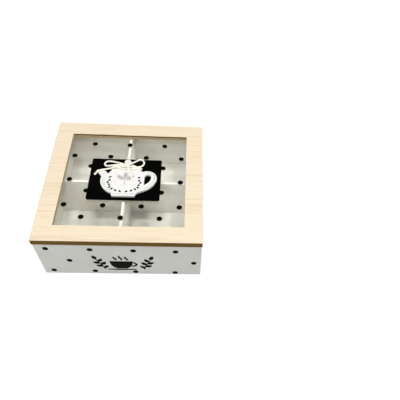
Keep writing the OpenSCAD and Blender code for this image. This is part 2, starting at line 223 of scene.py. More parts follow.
class FinishTree(ShaderTree):
    """A material's tree round a Principled shader, with patterns on Object coordinates."""

    def __init__(self, name: str, settings: Settings) -> None:
        """Start a material.

        Args:
            name: the finish's name.
            settings: values of the shader's inputs, as add takes them.
        """
        super().__init__(bpy.data.materials.new(name))
        self.place = self.add("TexCoord").outputs["Object"]
        self.shader = self.add("BsdfPrincipled", settings)
        self._end = self.add("OutputMaterial", links={"Surface": self.shader})

    def grain(
        self, size: Point, detail: float, rough: float = 0.5, bend: float = 0.0
    ) -> bpy.types.Node:
        """Add a cloudy pattern of a real size.

        Args:
            size: its size in millimetres along x, y and z.
            detail: how many finer layers it has.
            rough: the share of each finer layer.
            bend: how far it is drawn out of line.

        Returns:
            The pattern, from 0 to 1.
        """
        scale = tuple(1 / (s * MM) for s in size)
        scaled = self.add("Mapping", {"in:Scale": scale}, {"Vector": self.place})
        return self.add(
            "TexNoise",
            {"in:Scale": 1.0, "in:Detail": detail, "in:Roughness": rough, "in:Distortion": bend},
            {"Vector": scaled},
        )

    def off_middle(self, middle: Point) -> list[bpy.types.NodeSocket]:
        """Measure how far a point lies from a middle, along each axis.

        Args:
            middle: the middle, in millimetres.

        Returns:
            The distances along x, y and z, in metres and never below 0.
        """
        start = {"operation": "SUBTRACT", "in:1": tuple(m * MM for m in middle)}
        away = self.add("VectorMath", start, {0: self.place})
        size = self.add("VectorMath", {"operation": "ABSOLUTE"}, {0: away})
        return list(self.add("SeparateXYZ", links={0: size}).outputs)

    def finish(
        self, surface: bpy.types.Node | None = None, **values: Source
    ) -> bpy.types.Material:
        """Feed the Principled shader, and give the finished material.

        Args:
            surface: what the material shows instead of the Principled shader alone.
            values: what feeds each of the shader's inputs, by its name with underscores.

        Returns:
            The material.
        """
        for name, value in values.items():
            self.link(value, self.shader.inputs[name.replace("_", " ")])
        if surface is not None:
            self.link(surface, self._end.inputs["Surface"])
        return self.owner


def put(name: str, data: bpy.types.ID) -> bpy.types.Object:
    """Make an object and put it into the scene.

    Args:
        name: its name.
        data: its mesh, lamp or camera.

    Returns:
        The object.
    """
    obj = bpy.data.objects.new(name, data)
    bpy.context.collection.objects.link(obj)
    return obj


def dress(nodes: Iterable[str], material: bpy.types.Material) -> None:
    """Give CAD nodes a finish.

    Args:
        nodes: their names.
        material: the finish that takes every material slot's place.
    """
    for name in nodes:
        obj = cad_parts[name]
        if not obj.material_slots:
            obj.data.materials.append(material)
        for slot in obj.material_slots:
            slot.material = material
        LOG.info("%s is finished in %s", name, material.name)


def finish_piece(
    name: str,
    mesh: bpy.types.Mesh,
    materials: Sequence[bpy.types.Material],
    body: Body,
    replaced: Sequence[str] = (),
    smooth: float = 35.0,
) -> bpy.types.Object:
    """Make an object of a mesh that already lies in its place.

    Args:
        name: the piece's name.
        mesh: its mesh, in the frame's coordinates.
        materials: its finishes, in the order of its faces' material numbers.
        body: the body that it rides on.
        replaced: the CAD nodes that it stands for.
        smooth: edges flatter than this many degrees are shaded smooth.

    Returns:
        The object.
    """
    mesh.name = name
    while mesh.materials:
        mesh.materials.pop()
    for material in materials:
        mesh.materials.append(material)
    mesh.shade_smooth()
    mesh.set_sharp_from_angle(angle=math.radians(smooth))
    obj = put(name, mesh)
    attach(obj, body.value)
    if replaced:
        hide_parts(*replaced)
    LOG.info("%s: %d faces on %s", name, len(mesh.polygons), body.value)
    return obj


def even_shading(obj: bpy.types.Object) -> None:
    """Keep a piece's large flat faces flat in the light, next to its rounded edges."""
    weights = obj.modifiers.new("even_shading", "WEIGHTED_NORMAL")
    weights.keep_sharp, weights.weight = True, 90


def mesh_of(bm: bmesh.types.BMesh) -> bpy.types.Mesh:
    """Turn a bmesh into a mesh with outward faces, and free it.

    Args:
        bm: the bmesh.

    Returns:
        The mesh.
    """
    bmesh.ops.recalc_face_normals(bm, faces=bm.faces)
    mesh = bpy.data.meshes.new("made")
    bm.to_mesh(mesh)
    bm.free()
    return mesh


def rods_along(
    tracks: Iterable[Sequence[tuple[Sequence[float], float]]],
    radius: float,
    roundness: int,
    caps: bool = True,
) -> bpy.types.Mesh:
    """Sweep round rods along tracks.

    Args:
        tracks: each rod's points in metres, with the share of the radius that it has there.
        radius: the whole radius in millimetres.
        roundness: Blender's resolution of the rods' sections.
        caps: whether the rods' ends are closed.

    Returns:
        The rods' mesh.
    """
    data = bpy.data.curves.new("rods", "CURVE")
    data.dimensions, data.use_fill_caps = "3D", caps
    data.bevel_depth, data.bevel_resolution = radius * MM, roundness
    for track in tracks:
        spline = data.splines.new("POLY")
        spline.points.add(len(track) - 1)
        for handle, (place, share) in zip(spline.points, track):
            handle.co, handle.radius = (*place, 1.0), share
    rods = bpy.data.objects.new("rods", data)
    mesh = bpy.data.meshes.new_from_object(rods)
    bpy.data.objects.remove(rods)
    bpy.data.curves.remove(data)
    return mesh


def merged_copy(node: str) -> bmesh.types.BMesh:
    """Copy a CAD node's mesh, joined up and with its flat faces whole.

    Args:
        node: the node's name.

    Returns:
        A new bmesh.
    """
    bm = bmesh.new()
    bm.from_mesh(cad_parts[node].data)
    bmesh.ops.remove_doubles(bm, verts=bm.verts, dist=TOUCHING * MM)
    bmesh.ops.dissolve_degenerate(bm, dist=TOUCHING * MM, edges=bm.edges)
    bmesh.ops.dissolve_limit(
        bm, angle_limit=FLAT, verts=bm.verts, edges=bm.edges, delimit={"NORMAL"}
    )
    bmesh.ops.recalc_face_normals(bm, faces=bm.faces)
    return bm


def sharp_edges(bm: bmesh.types.BMesh, least: float) -> list[bmesh.types.BMEdge]:
    """Find the edges whose faces turn by more than so many degrees."""
    return [e for e in bm.edges if e.calc_face_angle(0.0) > math.radians(least)]


def round_edges(
    bm: bmesh.types.BMesh,
    edges: Sequence[bmesh.types.BMEdge],
    width: float,
    segments: int = 2,
) -> list[bmesh.types.BMFace]:
    """Round edges of a bmesh.

    Args:
        bm: the bmesh.
        edges: the edges.
        width: the rounding's width in millimetres.
        segments: how many strips it has.

    Returns:
        The rounding's faces.
    """
    made = bmesh.ops.bevel(
        bm,
        geom=list(edges),
        offset=width * MM,
        offset_type="OFFSET",
        affect="EDGES",
        segments=segments,
        profile=0.5,
        material=-1,
        clamp_overlap=False,
    )
    return made["faces"]


def raise_print(bm: bmesh.types.BMesh, faces: Sequence[bmesh.types.BMFace], height: float) -> None:
    """Give flat shapes on the plane z = 0 a thickness upwards.

    Args:
        bm: the bmesh.
        faces: the flat faces.
        height: the thickness in millimetres.
    """
    made = bmesh.ops.extrude_face_region(bm, geom=list(faces))
    top = [v for v in made["geom"] if isinstance(v, bmesh.types.BMVert)]
    bmesh.ops.translate(bm, verts=top, vec=(0, 0, height * MM))


# ---------------------------------------------------------------- finishes


@dataclass(frozen=True)
class SatinPaint:
    """Satin acrylic paint, rolled on fibreboard: an even white with the roller's fine stipple.

    The inside is painted paler and warmer than the outside, as painted light for the shaded
    compartments, with painted shade in the floor joint; handling has worn the coat at the corners.
    """

    name: str = "satin_white_paint_on_fibreboard"
    light: str = "#e9e9e5"
    dull: str = "#e0e0db"
    inner_light: str = "#fbf9f0"
    inner_dull: str = "#f4f1e7"
    board: str = "#bfa98a"
    board_dark: str = "#a48c6b"
    # painted shade in the floor joint: its pale and its dark tone
    painted_light_tone: str = "#dedbd1"
    dark_joint_shade: str = "#cfccc1"
    half: float = FRONT_WALL.half(0)
    rim: float = FRONT_WALL.high[2]
    floor: float = Extent.of("floor_panel").high[2]
    # the paler inside, which is painted light, ends this far in from the outer faces, and fades over
    # this width
    wall: float = 4.3
    fade: float = 0.6
    # the painted shade's lower and upper edge over the floor joint, and how each fades
    joint: tuple[tuple[float, float], ...] = ((0.02, 0.06), (0.5, 1.2))
    # how far in from an edge the wear starts, and where it is full
    worn: tuple[float, float] = (0.75, 0.15)
    # the chips' pattern breaks the coat from the first value, and fully from the second
    chipped: tuple[float, float] = (0.6, 0.66)
    stipple_mm: float = 0.9
    patch_mm: float = 38.0

    def _wear(self, tree: FinishTree) -> bpy.types.Node:
        """Find the outer corners and the rim, where handling has broken the coat in places.

        Args:
            tree: the finish's tree.

        Returns:
            How bare the board is, from 0 to 1.
        """
        near = within(*(self.half - depth for depth in self.worn))
        end = within(*(self.rim / 2 - depth for depth in self.worn))
        x, y, z = tree.off_middle((0.0, MIDDLE_Y, self.rim / 2))
        corner = tree.add("MapRange", near, {0: tree.add("Math", SMALLER, {0: x, 1: y})})
        skin = tree.add("MapRange", near, {0: tree.add("Math", LARGER, {0: x, 1: y})})
        foot = tree.add("Math", BOTH, {0: skin, 1: tree.add("MapRange", end, {0: z})})
        edge = tree.add("Math", LARGER, {0: corner, 1: foot})
        chips = tree.grain((1.6, 1.6, 2.6), 3.0, 0.65)
        broken = tree.add("MapRange", within(*self.chipped, unit=1.0), {0: chips})
        return tree.add("Math", BOTH, {0: edge, 1: broken})

    def _inside_painted_light(
        self, tree: FinishTree, height: Source, patches: Source, stipple: Source
    ) -> bpy.types.Node:
        """Colour the inside paler and warmer than the outside, as painted light, with painted shade in
        the joint along the floor.

        Args:
            tree: the finish's tree.
            height: how far a point lies over the table, in metres.
            patches: where the coat is thick, from 0 to 1.
            stipple: the roller's pattern.

        Returns:
            The colour.
        """
        # the inside's paler colours are painted light
        coat = {"stops": [(0.3, self.inner_dull), (0.7, self.inner_light)]}
        painted_light_tone = {"stops": [(0.3, self.dark_joint_shade), (0.6, self.painted_light_tone)]}
        low, high = (
            tree.add("MapRange", within(*(self.floor + h for h in edge)), {0: height})
            for edge in self.joint
        )
        # painted shade: a thin band just over the floor, where it meets the walls and dividers
        joint = tree.add("Math", {"operation": "SUBTRACT"}, {0: low, 1: high})
        clean = tree.add("ValToRGB", coat, {0: patches})
        shaded_joint = tree.add("ValToRGB", painted_light_tone, {0: stipple})
        return tree.add("Mix", MIX, {0: joint, 6: clean, 7: shaded_joint})

    def build(self) -> bpy.types.Material:
        """Make the material.

        Returns:
            The finish.
        """
        tree = FinishTree(self.name, {"in:Roughness": 0.42, "in:IOR": 1.47})
        patches = tree.grain((self.patch_mm,) * 3, 3.0)
        stipple = tree.grain((self.stipple_mm,) * 3, 2.0, 0.6)
        x, y, z = tree.off_middle((0.0, MIDDLE_Y, 0.0))
        inner = self._inside_painted_light(tree, z, patches, stipple)
        # the coat is a little thinner in places, which lets the board dull it
        thin = {"stops": [(0.3, self.dull), (0.7, self.light)]}
        outer = tree.add("ValToRGB", thin, {0: patches})
        # the outside keeps the plain coat, and inside the walls the paler one, which is painted light,
        # takes over
        out = tree.add("Math", LARGER, {0: x, 1: y})
        inside = self.half - self.wall
        place = tree.add("MapRange", within(inside, inside + self.fade), {0: out})
        coat = tree.add("Mix", MIX, {0: place, 6: inner, 7: outer})
        flecks = {"stops": [(0.25, "#f3f3f1"), (0.6, "#ffffff")]}
        fleck = tree.add("ValToRGB", flecks, {0: stipple})
        coat = tree.add("Mix", TINT | {"in:Factor": 1.0}, {6: coat, 7: fleck})
        board = {"stops": [(0.3, self.board_dark), (0.6, self.board)]}
        bare = tree.add("ValToRGB", board, {0: stipple})
        return tree.finish(
            Base_Color=tree.add("Mix", MIX, {0: self._wear(tree), 6: coat, 7: bare}),
            Roughness=tree.add("MapRange", spread(0.36, 0.52), {0: stipple}),
            Normal=tree.add("Bump", {"in:Distance": 0.03 * MM}, {"Height": stipple}),
        )


@dataclass(frozen=True)
class PineVeneer:
    """Pale pine veneer on a fibreboard core, whose sawn edges are bare and brown."""

    name: str = "sawn_pine_veneer_under_matt_lacquer"
    face: str = "#e2d4bb"
    late_wood: str = "#d9c7ad"
    late_line: str = "#ddcdb3"
    streak: str = "#efe1cd"
    fibre: str = "#ecdcc4"
    core: str = "#7c5c2a"
    core_dark: str = "#604720"
    cut: str = "#6c522e"
    cut_dark: str = "#5a4223"
    # painted reflection of the cut edge in the glass, on the edges' lower part
    edge_reflection: str = "#c8b48f"
    edge_reflection_dark: str = "#b49d76"
    # where each change of finish starts and ends, in millimetres: outwards from the window,
    # towards its left edge with its painted highlight, up from the painted reflection low on the
    # cut edges, and in from the skin
    rim: tuple[float, float] = (68.0, 69.0)
    left: tuple[float, float] = (-60.0, -62.0)
    glue: tuple[float, float] = (58.7, 59.5)
    veneer: tuple[float, float] = (0.5, 0.38)

    def _board(self, tree: FinishTree, streaks: Source, fibres: Source) -> bpy.types.Node:
        """Colour the veneer's growth rings, streaks and fibres.

        Args:
            tree: the finish's tree.
            streaks: the streaks' pattern.
            fibres: the fibres' pattern.

        Returns:
            The colour.
        """
        # growth rings run left to right: 6 mm apart, and drawn out to long streaks
        rings = tree.grain((170.0, 6.0, 6.0), 4.0, 0.55, 0.4)
        wood = [(0.34, self.late_wood), (0.45, self.face), (0.6, self.face)]
        board = tree.add("ValToRGB", {"stops": [*wood, (0.74, self.late_line)]}, {0: rings})
        for pattern, colour, low, high, share in (
            (streaks, self.streak, 0.3, 0.42, 0.75),
            (fibres, self.fibre, 0.3, 0.55, 0.35),
        ):
            stops = {"stops": [(low, colour), (high, "#ffffff")]}
            line = tree.add("ValToRGB", stops, {0: pattern})
            board = tree.add("Mix", TINT | {"in:Factor": share}, {6: board, 7: line})
        return board

    def _edges(self, tree: FinishTree, outside: Source, board: Source) -> bpy.types.Node:
        """Colour the bare core at the lid's outer edges and round the window, with a painted
        reflection low on the window's cut edges and a painted highlight on its left one.

        Args:
            tree: the finish's tree.
            outside: 1 at the outer edges and 0 round the window.
            board: the veneer's colour.

        Returns:
            The colour.
        """
        # the core's fibres lie flat, so its edges show faint layers
        layers = tree.grain((14.0, 14.0, 0.7), 3.0, 0.6)
        painted_light_tone = tree.grain((6.0, 6.0, 1.2), 3.0)
        core, cut, edge_reflection = (
            tree.add("ValToRGB", {"stops": stops}, {0: pattern})
            for pattern, stops in (
                (layers, [(0.3, self.core_dark), (0.62, self.core)]),
                (layers, [(0.3, self.cut_dark), (0.62, self.cut)]),
                (painted_light_tone, [(0.3, self.edge_reflection_dark), (0.65, self.edge_reflection)]),
            )
        )
        # the window's cut edges were sanded clean; their lower part is paled by a painted reflection
        # of the edge in the glass
        x, _, z = tree.add("SeparateXYZ", links={0: tree.place}).outputs
        high = tree.add("MapRange", within(*self.glue), {0: z})
        sanded = tree.add("Mix", MIX, {0: high, 6: edge_reflection, 7: cut})
        # the left one is paled halfway to the veneer's colour: a painted highlight, as it faces the
        # light from the right
        left_highlight = tree.add("MapRange", within(*self.left) | spread(0.0, 0.5), {0: x})
        sanded = tree.add("Mix", MIX, {0: left_highlight, 6: sanded, 7: board})
        return tree.add("Mix", MIX, {0: outside, 6: sanded, 7: core})

    def build(self) -> bpy.types.Material:
        """Make the material.

        Returns:
            The finish.
        """
        tree = FinishTree(self.name, {"in:IOR": 1.5, "in:Specular IOR Level": 0.3})
        streaks = tree.grain((60.0, 1.4, 1.4), 3.0, 0.6, 0.2)
        # real fibres are 0.05 mm wide; these are drawn 0.4 mm wide so that they show
        fibres = tree.grain((9.0, 0.4, 0.4), 2.0, 0.6)
        board = self._board(tree, streaks, fibres)
        x, y, z = tree.off_middle((0.0, MIDDLE_Y, LID_BOARD.middle(2)))
        wide = tree.add("Math", LARGER, {0: x, 1: y})
        outside = tree.add("MapRange", within(*self.rim), {0: wide})
        edge = self._edges(tree, outside, board)
        # only the faces are lacquered, so the bare edges hardly shine
        skin = within(*(LID_BOARD.half(2) - depth for depth in self.veneer))
        face = tree.add("MapRange", skin, {0: z})
        return tree.finish(
            Base_Color=tree.add("Mix", MIX, {0: face, 6: edge, 7: board}),
            Specular_IOR_Level=tree.add("MapRange", spread(0.06, 0.3), {0: face}),
            Roughness=tree.add("MapRange", spread(0.62, 0.42), {0: streaks}),
            Normal=tree.add("Bump", {"in:Distance": 0.04 * MM}, {"Height": fibres}),
        )


@dataclass(frozen=True)
class MattBlackPaint:
    """Matt black paint sprayed on thin board: deep, with a dry sheen at a low angle."""

    name: str = "matt_black_paint_on_board"
    colour: str = "#020202"
    worn: str = "#060505"
    fleck: str = "#d8d8d8"

    def build(self) -> bpy.types.Material:
        """Make the material.

        Returns:
            The finish.
        """
        tree = FinishTree(
            self.name, {"in:IOR": 1.45, "in:Specular IOR Level": 0.015, "in:Roughness": 0.6}
        )
        grit = tree.grain((0.5, 0.5, 0.5), 3.0, 0.65)
        patches = tree.grain((18.0, 18.0, 18.0), 2.0)
        colours = {"stops": [(0.35, self.colour), (0.75, self.worn)]}
        coat = tree.add("ValToRGB", colours, {0: patches})
        fleck = tree.add("ValToRGB", {"stops": [(0.3, self.fleck), (0.6, "#ffffff")]}, {0: grit})
        return tree.finish(
            Base_Color=tree.add("Mix", TINT | {"in:Factor": 1.0}, {6: coat, 7: fleck}),
            Roughness=tree.add("MapRange", spread(0.5, 0.68), {0: grit}),
            Normal=tree.add("Bump", {"in:Distance": 0.02 * MM}, {"Height": grit}),
        )


@dataclass(frozen=True)
class PrintingInk:
    """Black ink, screen-printed: nearly even, with pinholes of the screen's mesh."""

    name: str = "screen_printed_black_ink"
    colour: str = "#060505"
    pinhole: str = "#121110"

    def build(self) -> bpy.types.Material:
        """Make the material.

        Returns:
            The finish.
        """
        tree = FinishTree(self.name, {"in:IOR": 1.5, "in:Specular IOR Level": 0.015})
        # a screen of 77 threads to the centimetre, drawn three times as coarse
        mesh = tree.grain((0.4, 0.4, 0.4), 1.0)
        colours = {"stops": [(0.28, self.pinhole), (0.4, self.colour)]}
        return tree.finish(
            Base_Color=tree.add("ValToRGB", colours, {0: mesh}),
            Roughness=tree.add("MapRange", spread(0.5, 0.38), {0: mesh}),
        )


@dataclass(frozen=True)
class FloatGlass:
    """Clear float glass: sharp reflections, no colour but at its edges."""

    name: str = "clear_float_glass"
    colour: str = "#ffffff"
    straight_colour: str = "#fcfdfc"

    def build(self) -> bpy.types.Material:
        """Make the material. Its shadow is let through, as thin glass does.

        Returns:
            The finish.
        """
        glass = {"in:Transmission Weight": 1.0, "in:IOR": 1.52}
        tree = FinishTree(self.name, glass | {"in:Base Color": linear(self.colour)})
        # a faint film of fingers' grease changes the polish from place to place
        film = tree.grain((30.0, 30.0, 30.0), 3.0)
        # thin glass bends only what is seen through it, and lets lamps' light straight in
        path = tree.add("LightPath").outputs
        matt = {"operation": "GREATER_THAN", "in:1": 0.5}
        scattered = tree.add("Math", matt, {0: path["Diffuse Depth"]})
        straight = tree.add("Math", LARGER, {0: path["Is Shadow Ray"], 1: scattered})
        clear = tree.add("BsdfTransparent", {"in:Color": linear(self.straight_colour)})
        return tree.finish(
            surface=tree.add("MixShader", links={0: straight, 1: tree.shader, 2: clear}),
            Roughness=tree.add("MapRange", spread(0.0, 0.03), {0: film}),
        )


@dataclass(frozen=True)
class ClearGlue:
    """Cured clear silicone: milky, soft and a little uneven."""

    name: str = "cured_clear_silicone"
    light: str = "#f3f3ef"
    milky: str = "#e6e6e0"

    def build(self) -> bpy.types.Material:
        """Make the material.

        Returns:
            The finish.
        """
        tree = FinishTree(
            self.name, {"in:Transmission Weight": 0.7, "in:IOR": 1.41, "in:Roughness": 0.35}
        )
        lumps = tree.grain((2.5, 2.5, 2.5), 2.0)
        colours = {"stops": [(0.3, self.milky), (0.7, self.light)]}
        return tree.finish(
            Base_Color=tree.add("ValToRGB", colours, {0: lumps}),
            Normal=tree.add("Bump", {"in:Distance": 0.05 * MM}, {"Height": lumps}),
        )


@dataclass(frozen=True)
class RolledBrass:
    """Stamped and rolled brass under clear lacquer: warm, with fine lines of the rolling."""

    name: str = "rolled_brass_under_lacquer"
    bright: str = "#d9b56a"
    tarnished: str = "#a9803f"

    def build(self) -> bpy.types.Material:
        """Make the material.

        Returns:
            The finish.
        """
        tree = FinishTree(self.name, {"in:Metallic": 1.0})
        # rolling lines along the hinge: real ones are 0.02 mm apart, drawn at 0.12 mm
        lines = tree.grain((6.0, 0.12, 0.12), 2.0, 0.7)
        stain = tree.grain((3.0, 3.0, 3.0), 3.0)
        colours = {"stops": [(0.3, self.tarnished), (0.62, self.bright)]}
        return tree.finish(
            Base_Color=tree.add("ValToRGB", colours, {0: stain}),
            Roughness=tree.add("MapRange", spread(0.24, 0.42), {0: lines}),
            Normal=tree.add("Bump", {"in:Distance": 0.01 * MM}, {"Height": lines}),
        )


@dataclass(frozen=True)
class OrnamentPaint:
    """White paint sprayed on cut board: thick, soft at the edges and slightly grained."""

    name: str = "sprayed_white_paint_on_cut_board"
    light: str = "#e3e2e0"
    dull: str = "#dcdbd8"

    def build(self) -> bpy.types.Material:
        """Make the material.

        Returns:
            The finish.
        """
        tree = FinishTree(self.name, {"in:IOR": 1.48, "in:Specular IOR Level": 0.4})
        patches = tree.grain((9.0, 9.0, 9.0), 3.0)
        # the board's grain telegraphs through the paint, across the ornament
        grain = tree.grain((5.0, 0.6, 0.6), 3.0, 0.6)
        colours = {"stops": [(0.3, self.dull), (0.65, self.light)]}
        return tree.finish(
            Base_Color=tree.add("ValToRGB", colours, {0: patches}),
            Roughness=tree.add("MapRange", spread(0.36, 0.5), {0: grain}),
            Normal=tree.add("Bump", {"in:Distance": 0.03 * MM}, {"Height": grain}),
        )


@dataclass(frozen=True)
class BurntGroove:
    """The bottom of a laser's cut through white paint: greyed and slightly scorched."""

    name: str = "laser_engraved_paint"
    light: str = "#c2bfb9"
    dark: str = "#a5a19a"

    def build(self) -> bpy.types.Material:
        """Make the material.

        Returns:
            The finish.
        """
        tree = FinishTree(self.name, {"in:IOR": 1.45, "in:Roughness": 0.7})
        soot = tree.grain((0.8, 0.8, 0.8), 3.0)
        colours = {"stops": [(0.3, self.dark), (0.65, self.light)]}
        return tree.finish(
            Base_Color=tree.add("ValToRGB", colours, {0: soot}),
            Normal=tree.add("Bump", {"in:Distance": 0.03 * MM}, {"Height": soot}),
        )


@dataclass(frozen=True)
class ShadedSlotWall:
    """The walls of a laser's through cut in the ornament, near black and dull: painted shade for the
    shadow in the narrow slots and the black board below them.
    """

    name: str = "slot_walls_painted_shade"
    light: str = "#2a211a"
    dark: str = "#120e0b"

    def build(self) -> bpy.types.Material:
        """Make the material.

        Returns:
            The finish.
        """
        tree = FinishTree(
            self.name, {"in:IOR": 1.45, "in:Roughness": 0.85, "in:Specular IOR Level": 0.1}
        )
        # the beam leaves upright ribs, 0.15 mm apart
        ribs = tree.grain((0.15, 0.15, 2.0), 2.0)
        colours = {"stops": [(0.3, self.dark), (0.65, self.light)]}
        return tree.finish(
            Base_Color=tree.add("ValToRGB", colours, {0: ribs}),
            Normal=tree.add("Bump", {"in:Distance": 0.03 * MM}, {"Height": ribs}),
        )


@dataclass(frozen=True)
class CottonTwine:
    """Natural cotton twine, spun and laid in strands: matt, cream, with a downy sheen."""

    name: str = "laid_natural_cotton_twine"
    light: str = "#faf8ee"
    shade: str = "#eae6d4"
    down: str = "#fffbe6"

    def build(self) -> bpy.types.Material:
        """Make the material.

        Returns:
            The finish.
        """
        tree = FinishTree(
            self.name,
            {
                "in:Roughness": 0.85,
                "in:Specular IOR Level": 0.2,
                "in:Sheen Weight": 0.35,
                "in:Sheen Roughness": 0.5,
                "in:Sheen Tint": linear(self.down),
            },
        )
        # cotton fibres are 0.02 mm thick, drawn as tufts of 0.25 mm
        tufts = tree.grain((0.25, 0.25, 0.25), 2.0, 0.6)
        colours = {"stops": [(0.3, self.shade), (0.6, self.light)]}
        return tree.finish(
            Base_Color=tree.add("ValToRGB", colours, {0: tufts}),
            Normal=tree.add("Bump", {"in:Distance": 0.08 * MM}, {"Height": tufts}),
        )


@dataclass(frozen=True)
class BackdropPaper:
    """Matt white backdrop paper that is white to the eye and keeps the box's shadow."""

    name: str = "matt_white_backdrop_paper"
    light: str = "#a6a5a3"
    dull: str = "#a1a09e"
    glow: float = 0.7
    # the paper is white by itself from here on, in millimetres from the box
    near: float = 450.0
    far: float = 1600.0

    def build(self) -> bpy.types.Material:
        """Make the material.

        Returns:
            The finish.
        """
        tree = FinishTree(self.name, {"in:Roughness": 0.9, "in:Specular IOR Level": 0.0})
        pulp = tree.grain((60.0, 60.0, 60.0), 2.0)
        colours = {"stops": [(0.3, self.dull), (0.7, self.light)]}
        # far off, where the lamps' light fades, the paper itself is white
        away = tree.add("VectorMath", {"operation": "LENGTH"}, {0: tree.place})
        fade = within(self.near, self.far) | spread(self.glow, 1.0)
        strength = tree.add("MapRange", fade, {0: away})
        glow = tree.add("Emission", links={"Strength": strength})
        plain = tree.add("Emission", {"in:Strength": 0.0})
        shown = tree.add("MixShader", links={0: tree.seen(), 1: plain, 2: glow})
        return tree.finish(
            surface=tree.add("AddShader", links={0: tree.shader, 1: shown}),
            Base_Color=tree.add("ValToRGB", colours, {0: pulp}),
        )


@dataclass(frozen=True)
class Finishes:
    """Every finish of the box, made once."""

    paint: bpy.types.Material = field(default_factory=lambda: SatinPaint().build())
    pine: bpy.types.Material = field(default_factory=lambda: PineVeneer().build())
    black: bpy.types.Material = field(default_factory=lambda: MattBlackPaint().build())
    ink: bpy.types.Material = field(default_factory=lambda: PrintingInk().build())
    glass: bpy.types.Material = field(default_factory=lambda: FloatGlass().build())
    glue: bpy.types.Material = field(default_factory=lambda: ClearGlue().build())
    brass: bpy.types.Material = field(default_factory=lambda: RolledBrass().build())
    ornament: bpy.types.Material = field(default_factory=lambda: OrnamentPaint().build())
    groove: bpy.types.Material = field(default_factory=lambda: BurntGroove().build())
    # painted shade for the ornament's slot walls
    soot: bpy.types.Material = field(default_factory=lambda: ShadedSlotWall().build())
    twine: bpy.types.Material = field(default_factory=lambda: CottonTwine().build())


# ---------------------------------------------------------------- camera, floor and lamps


@dataclass(frozen=True)
class Softbox:
    """A lamp with an even, oblong face that looks at the box.

    Its face and its distance are in metres, and its place is two angles in degrees.
    """

    name: str
    elevation: float
    turn: float
    width: float
    height: float
    level: float
    distance: float = 1.4
    target: Point = (0.0, 0.0, 40.0)

    def hang(self) -> None:
        """Make the lamp. Its level is the brightness of a white card that faces it."""
        data = bpy.data.lights.new(self.name, "AREA")
        data.shape, data.size, data.size_y = "RECTANGLE", self.width, self.height
        data.energy = self.level * (math.pi * self.distance) ** 2
        lamp = put(self.name, data)
        up, round_ = math.radians(self.elevation), math.radians(self.turn)
        back = Vector(
            (math.sin(round_) * math.cos(up), -math.cos(round_) * math.cos(up), math.sin(up))
        )
        lamp.location = Vector(self.target) * MM + back * self.distance
        lamp.rotation_mode = "QUATERNION"
        lamp.rotation_quaternion = back.to_track_quat("Z", "Y")
        lamp.visible_camera = False
        # the sky alone is mirrored, so no lamp hides what lies behind the pane
        lamp.visible_glossy = False


@dataclass
class Studio:
    """The camera, the pale floor and the lamps round the box."""

    eye: Point = (66.42, -305.33, 401.2)
    lens: float = 38.879
    sensor: float = 36.0
    shift: tuple[float, float] = (-0.0452, 0.0907)
    # where the camera aims, in radians: down, to the right, and round its own axis
    elevation: float = 0.9684
    turn: float = 0.1208
    roll: float = -0.1181
    # how near and how far it sees, in metres
    clip: tuple[float, float] = (0.01, 20.0)
    floor: float = 6000.0
    gap: float = 0.05
    sky: float = 0.05
    lamps: tuple[Softbox, ...] = (
        Softbox("overhead_middle", 73.2, 0.0, 0.24, 0.1, 0.243),
        Softbox("overhead_right", 65.6, 48.4, 0.24, 0.1, 0.112),
        Softbox("overhead_centre", 90.0, 0.0, 0.24, 0.1, 0.146),
        Softbox("overhead_beside", 71.2, 90.0, 0.24, 0.1, 0.218),
        Softbox("overhead_left", 59.6, -75.1, 0.24, 0.1, 0.128),
        Softbox("front_low", 35.0, 0.0, 0.8, 0.42, 0.138),
        Softbox("front_left", 35.0, -38.0, 0.8, 0.42, 0.238),
        Softbox("side_right", 29.0, 85.0, 0.9, 0.3, 0.3),
        Softbox("fill_left", 15.0, -85.0, 0.9, 0.6, 0.14),
        Softbox("fill_behind", 12.0, 180.0, 0.9, 0.6, 0.3),
    )

    def place_camera(self) -> None:
        """Make the camera and set it as the scene's."""
        data = bpy.data.cameras.new("camera")
        data.sensor_width, data.lens = self.sensor, self.lens
        data.shift_x, data.shift_y = self.shift
        data.clip_start, data.clip_end = self.clip
        camera = put("camera", data)
        flat = math.cos(self.elevation)
        aim = Vector(
            (math.sin(self.turn) * flat, math.cos(self.turn) * flat, -math.sin(self.elevation))
        )
        right = aim.cross(Vector((0, 0, 1))).normalized()
        turned = Matrix.Rotation(self.roll, 3, aim) @ right
        up = turned.cross(aim)
        axes = Matrix((turned, up, -aim)).transposed().to_4x4()
        camera.matrix_world = Matrix.Translation(Vector(self.eye) * MM) @ axes
        bpy.context.scene.camera = camera

    def lay_floor(self) -> None:
        """Make a wide pale floor under the box."""
        bm = bmesh.new()
        bmesh.ops.create_grid(bm, x_segments=4, y_segments=4, size=self.floor * MM)
        bmesh.ops.translate(bm, verts=bm.verts, vec=(0, 0, -self.gap * MM))
        # an open sheet has no outside, so its faces are left looking up
        sheet = bpy.data.meshes.new("floor")
        bm.to_mesh(sheet)
        bm.free()
        floor = put("floor", sheet)
        floor.data.materials.append(BackdropPaper().build())

    def light(self) -> None:
        """Hang the lamps and make the even sky, which is white where it is seen itself."""
        for lamp in self.lamps:
            lamp.hang()
        world = bpy.data.worlds.new("sky")
        bpy.context.scene.world = world
        tree = ShaderTree(world)
        plain = {"in:Color": linear("#ffffff")}
        dim, white = (
            tree.add("Background", plain | {"in:Strength": strength})
            for strength in (self.sky, 1.0)
        )
        shown = tree.add("MixShader", links={0: tree.seen(), 1: dim, 2: white})
        tree.add("OutputWorld", links={"Surface": shown})
        bpy.context.scene.view_settings.view_transform = "Standard"


# ---------------------------------------------------------------- twine bow


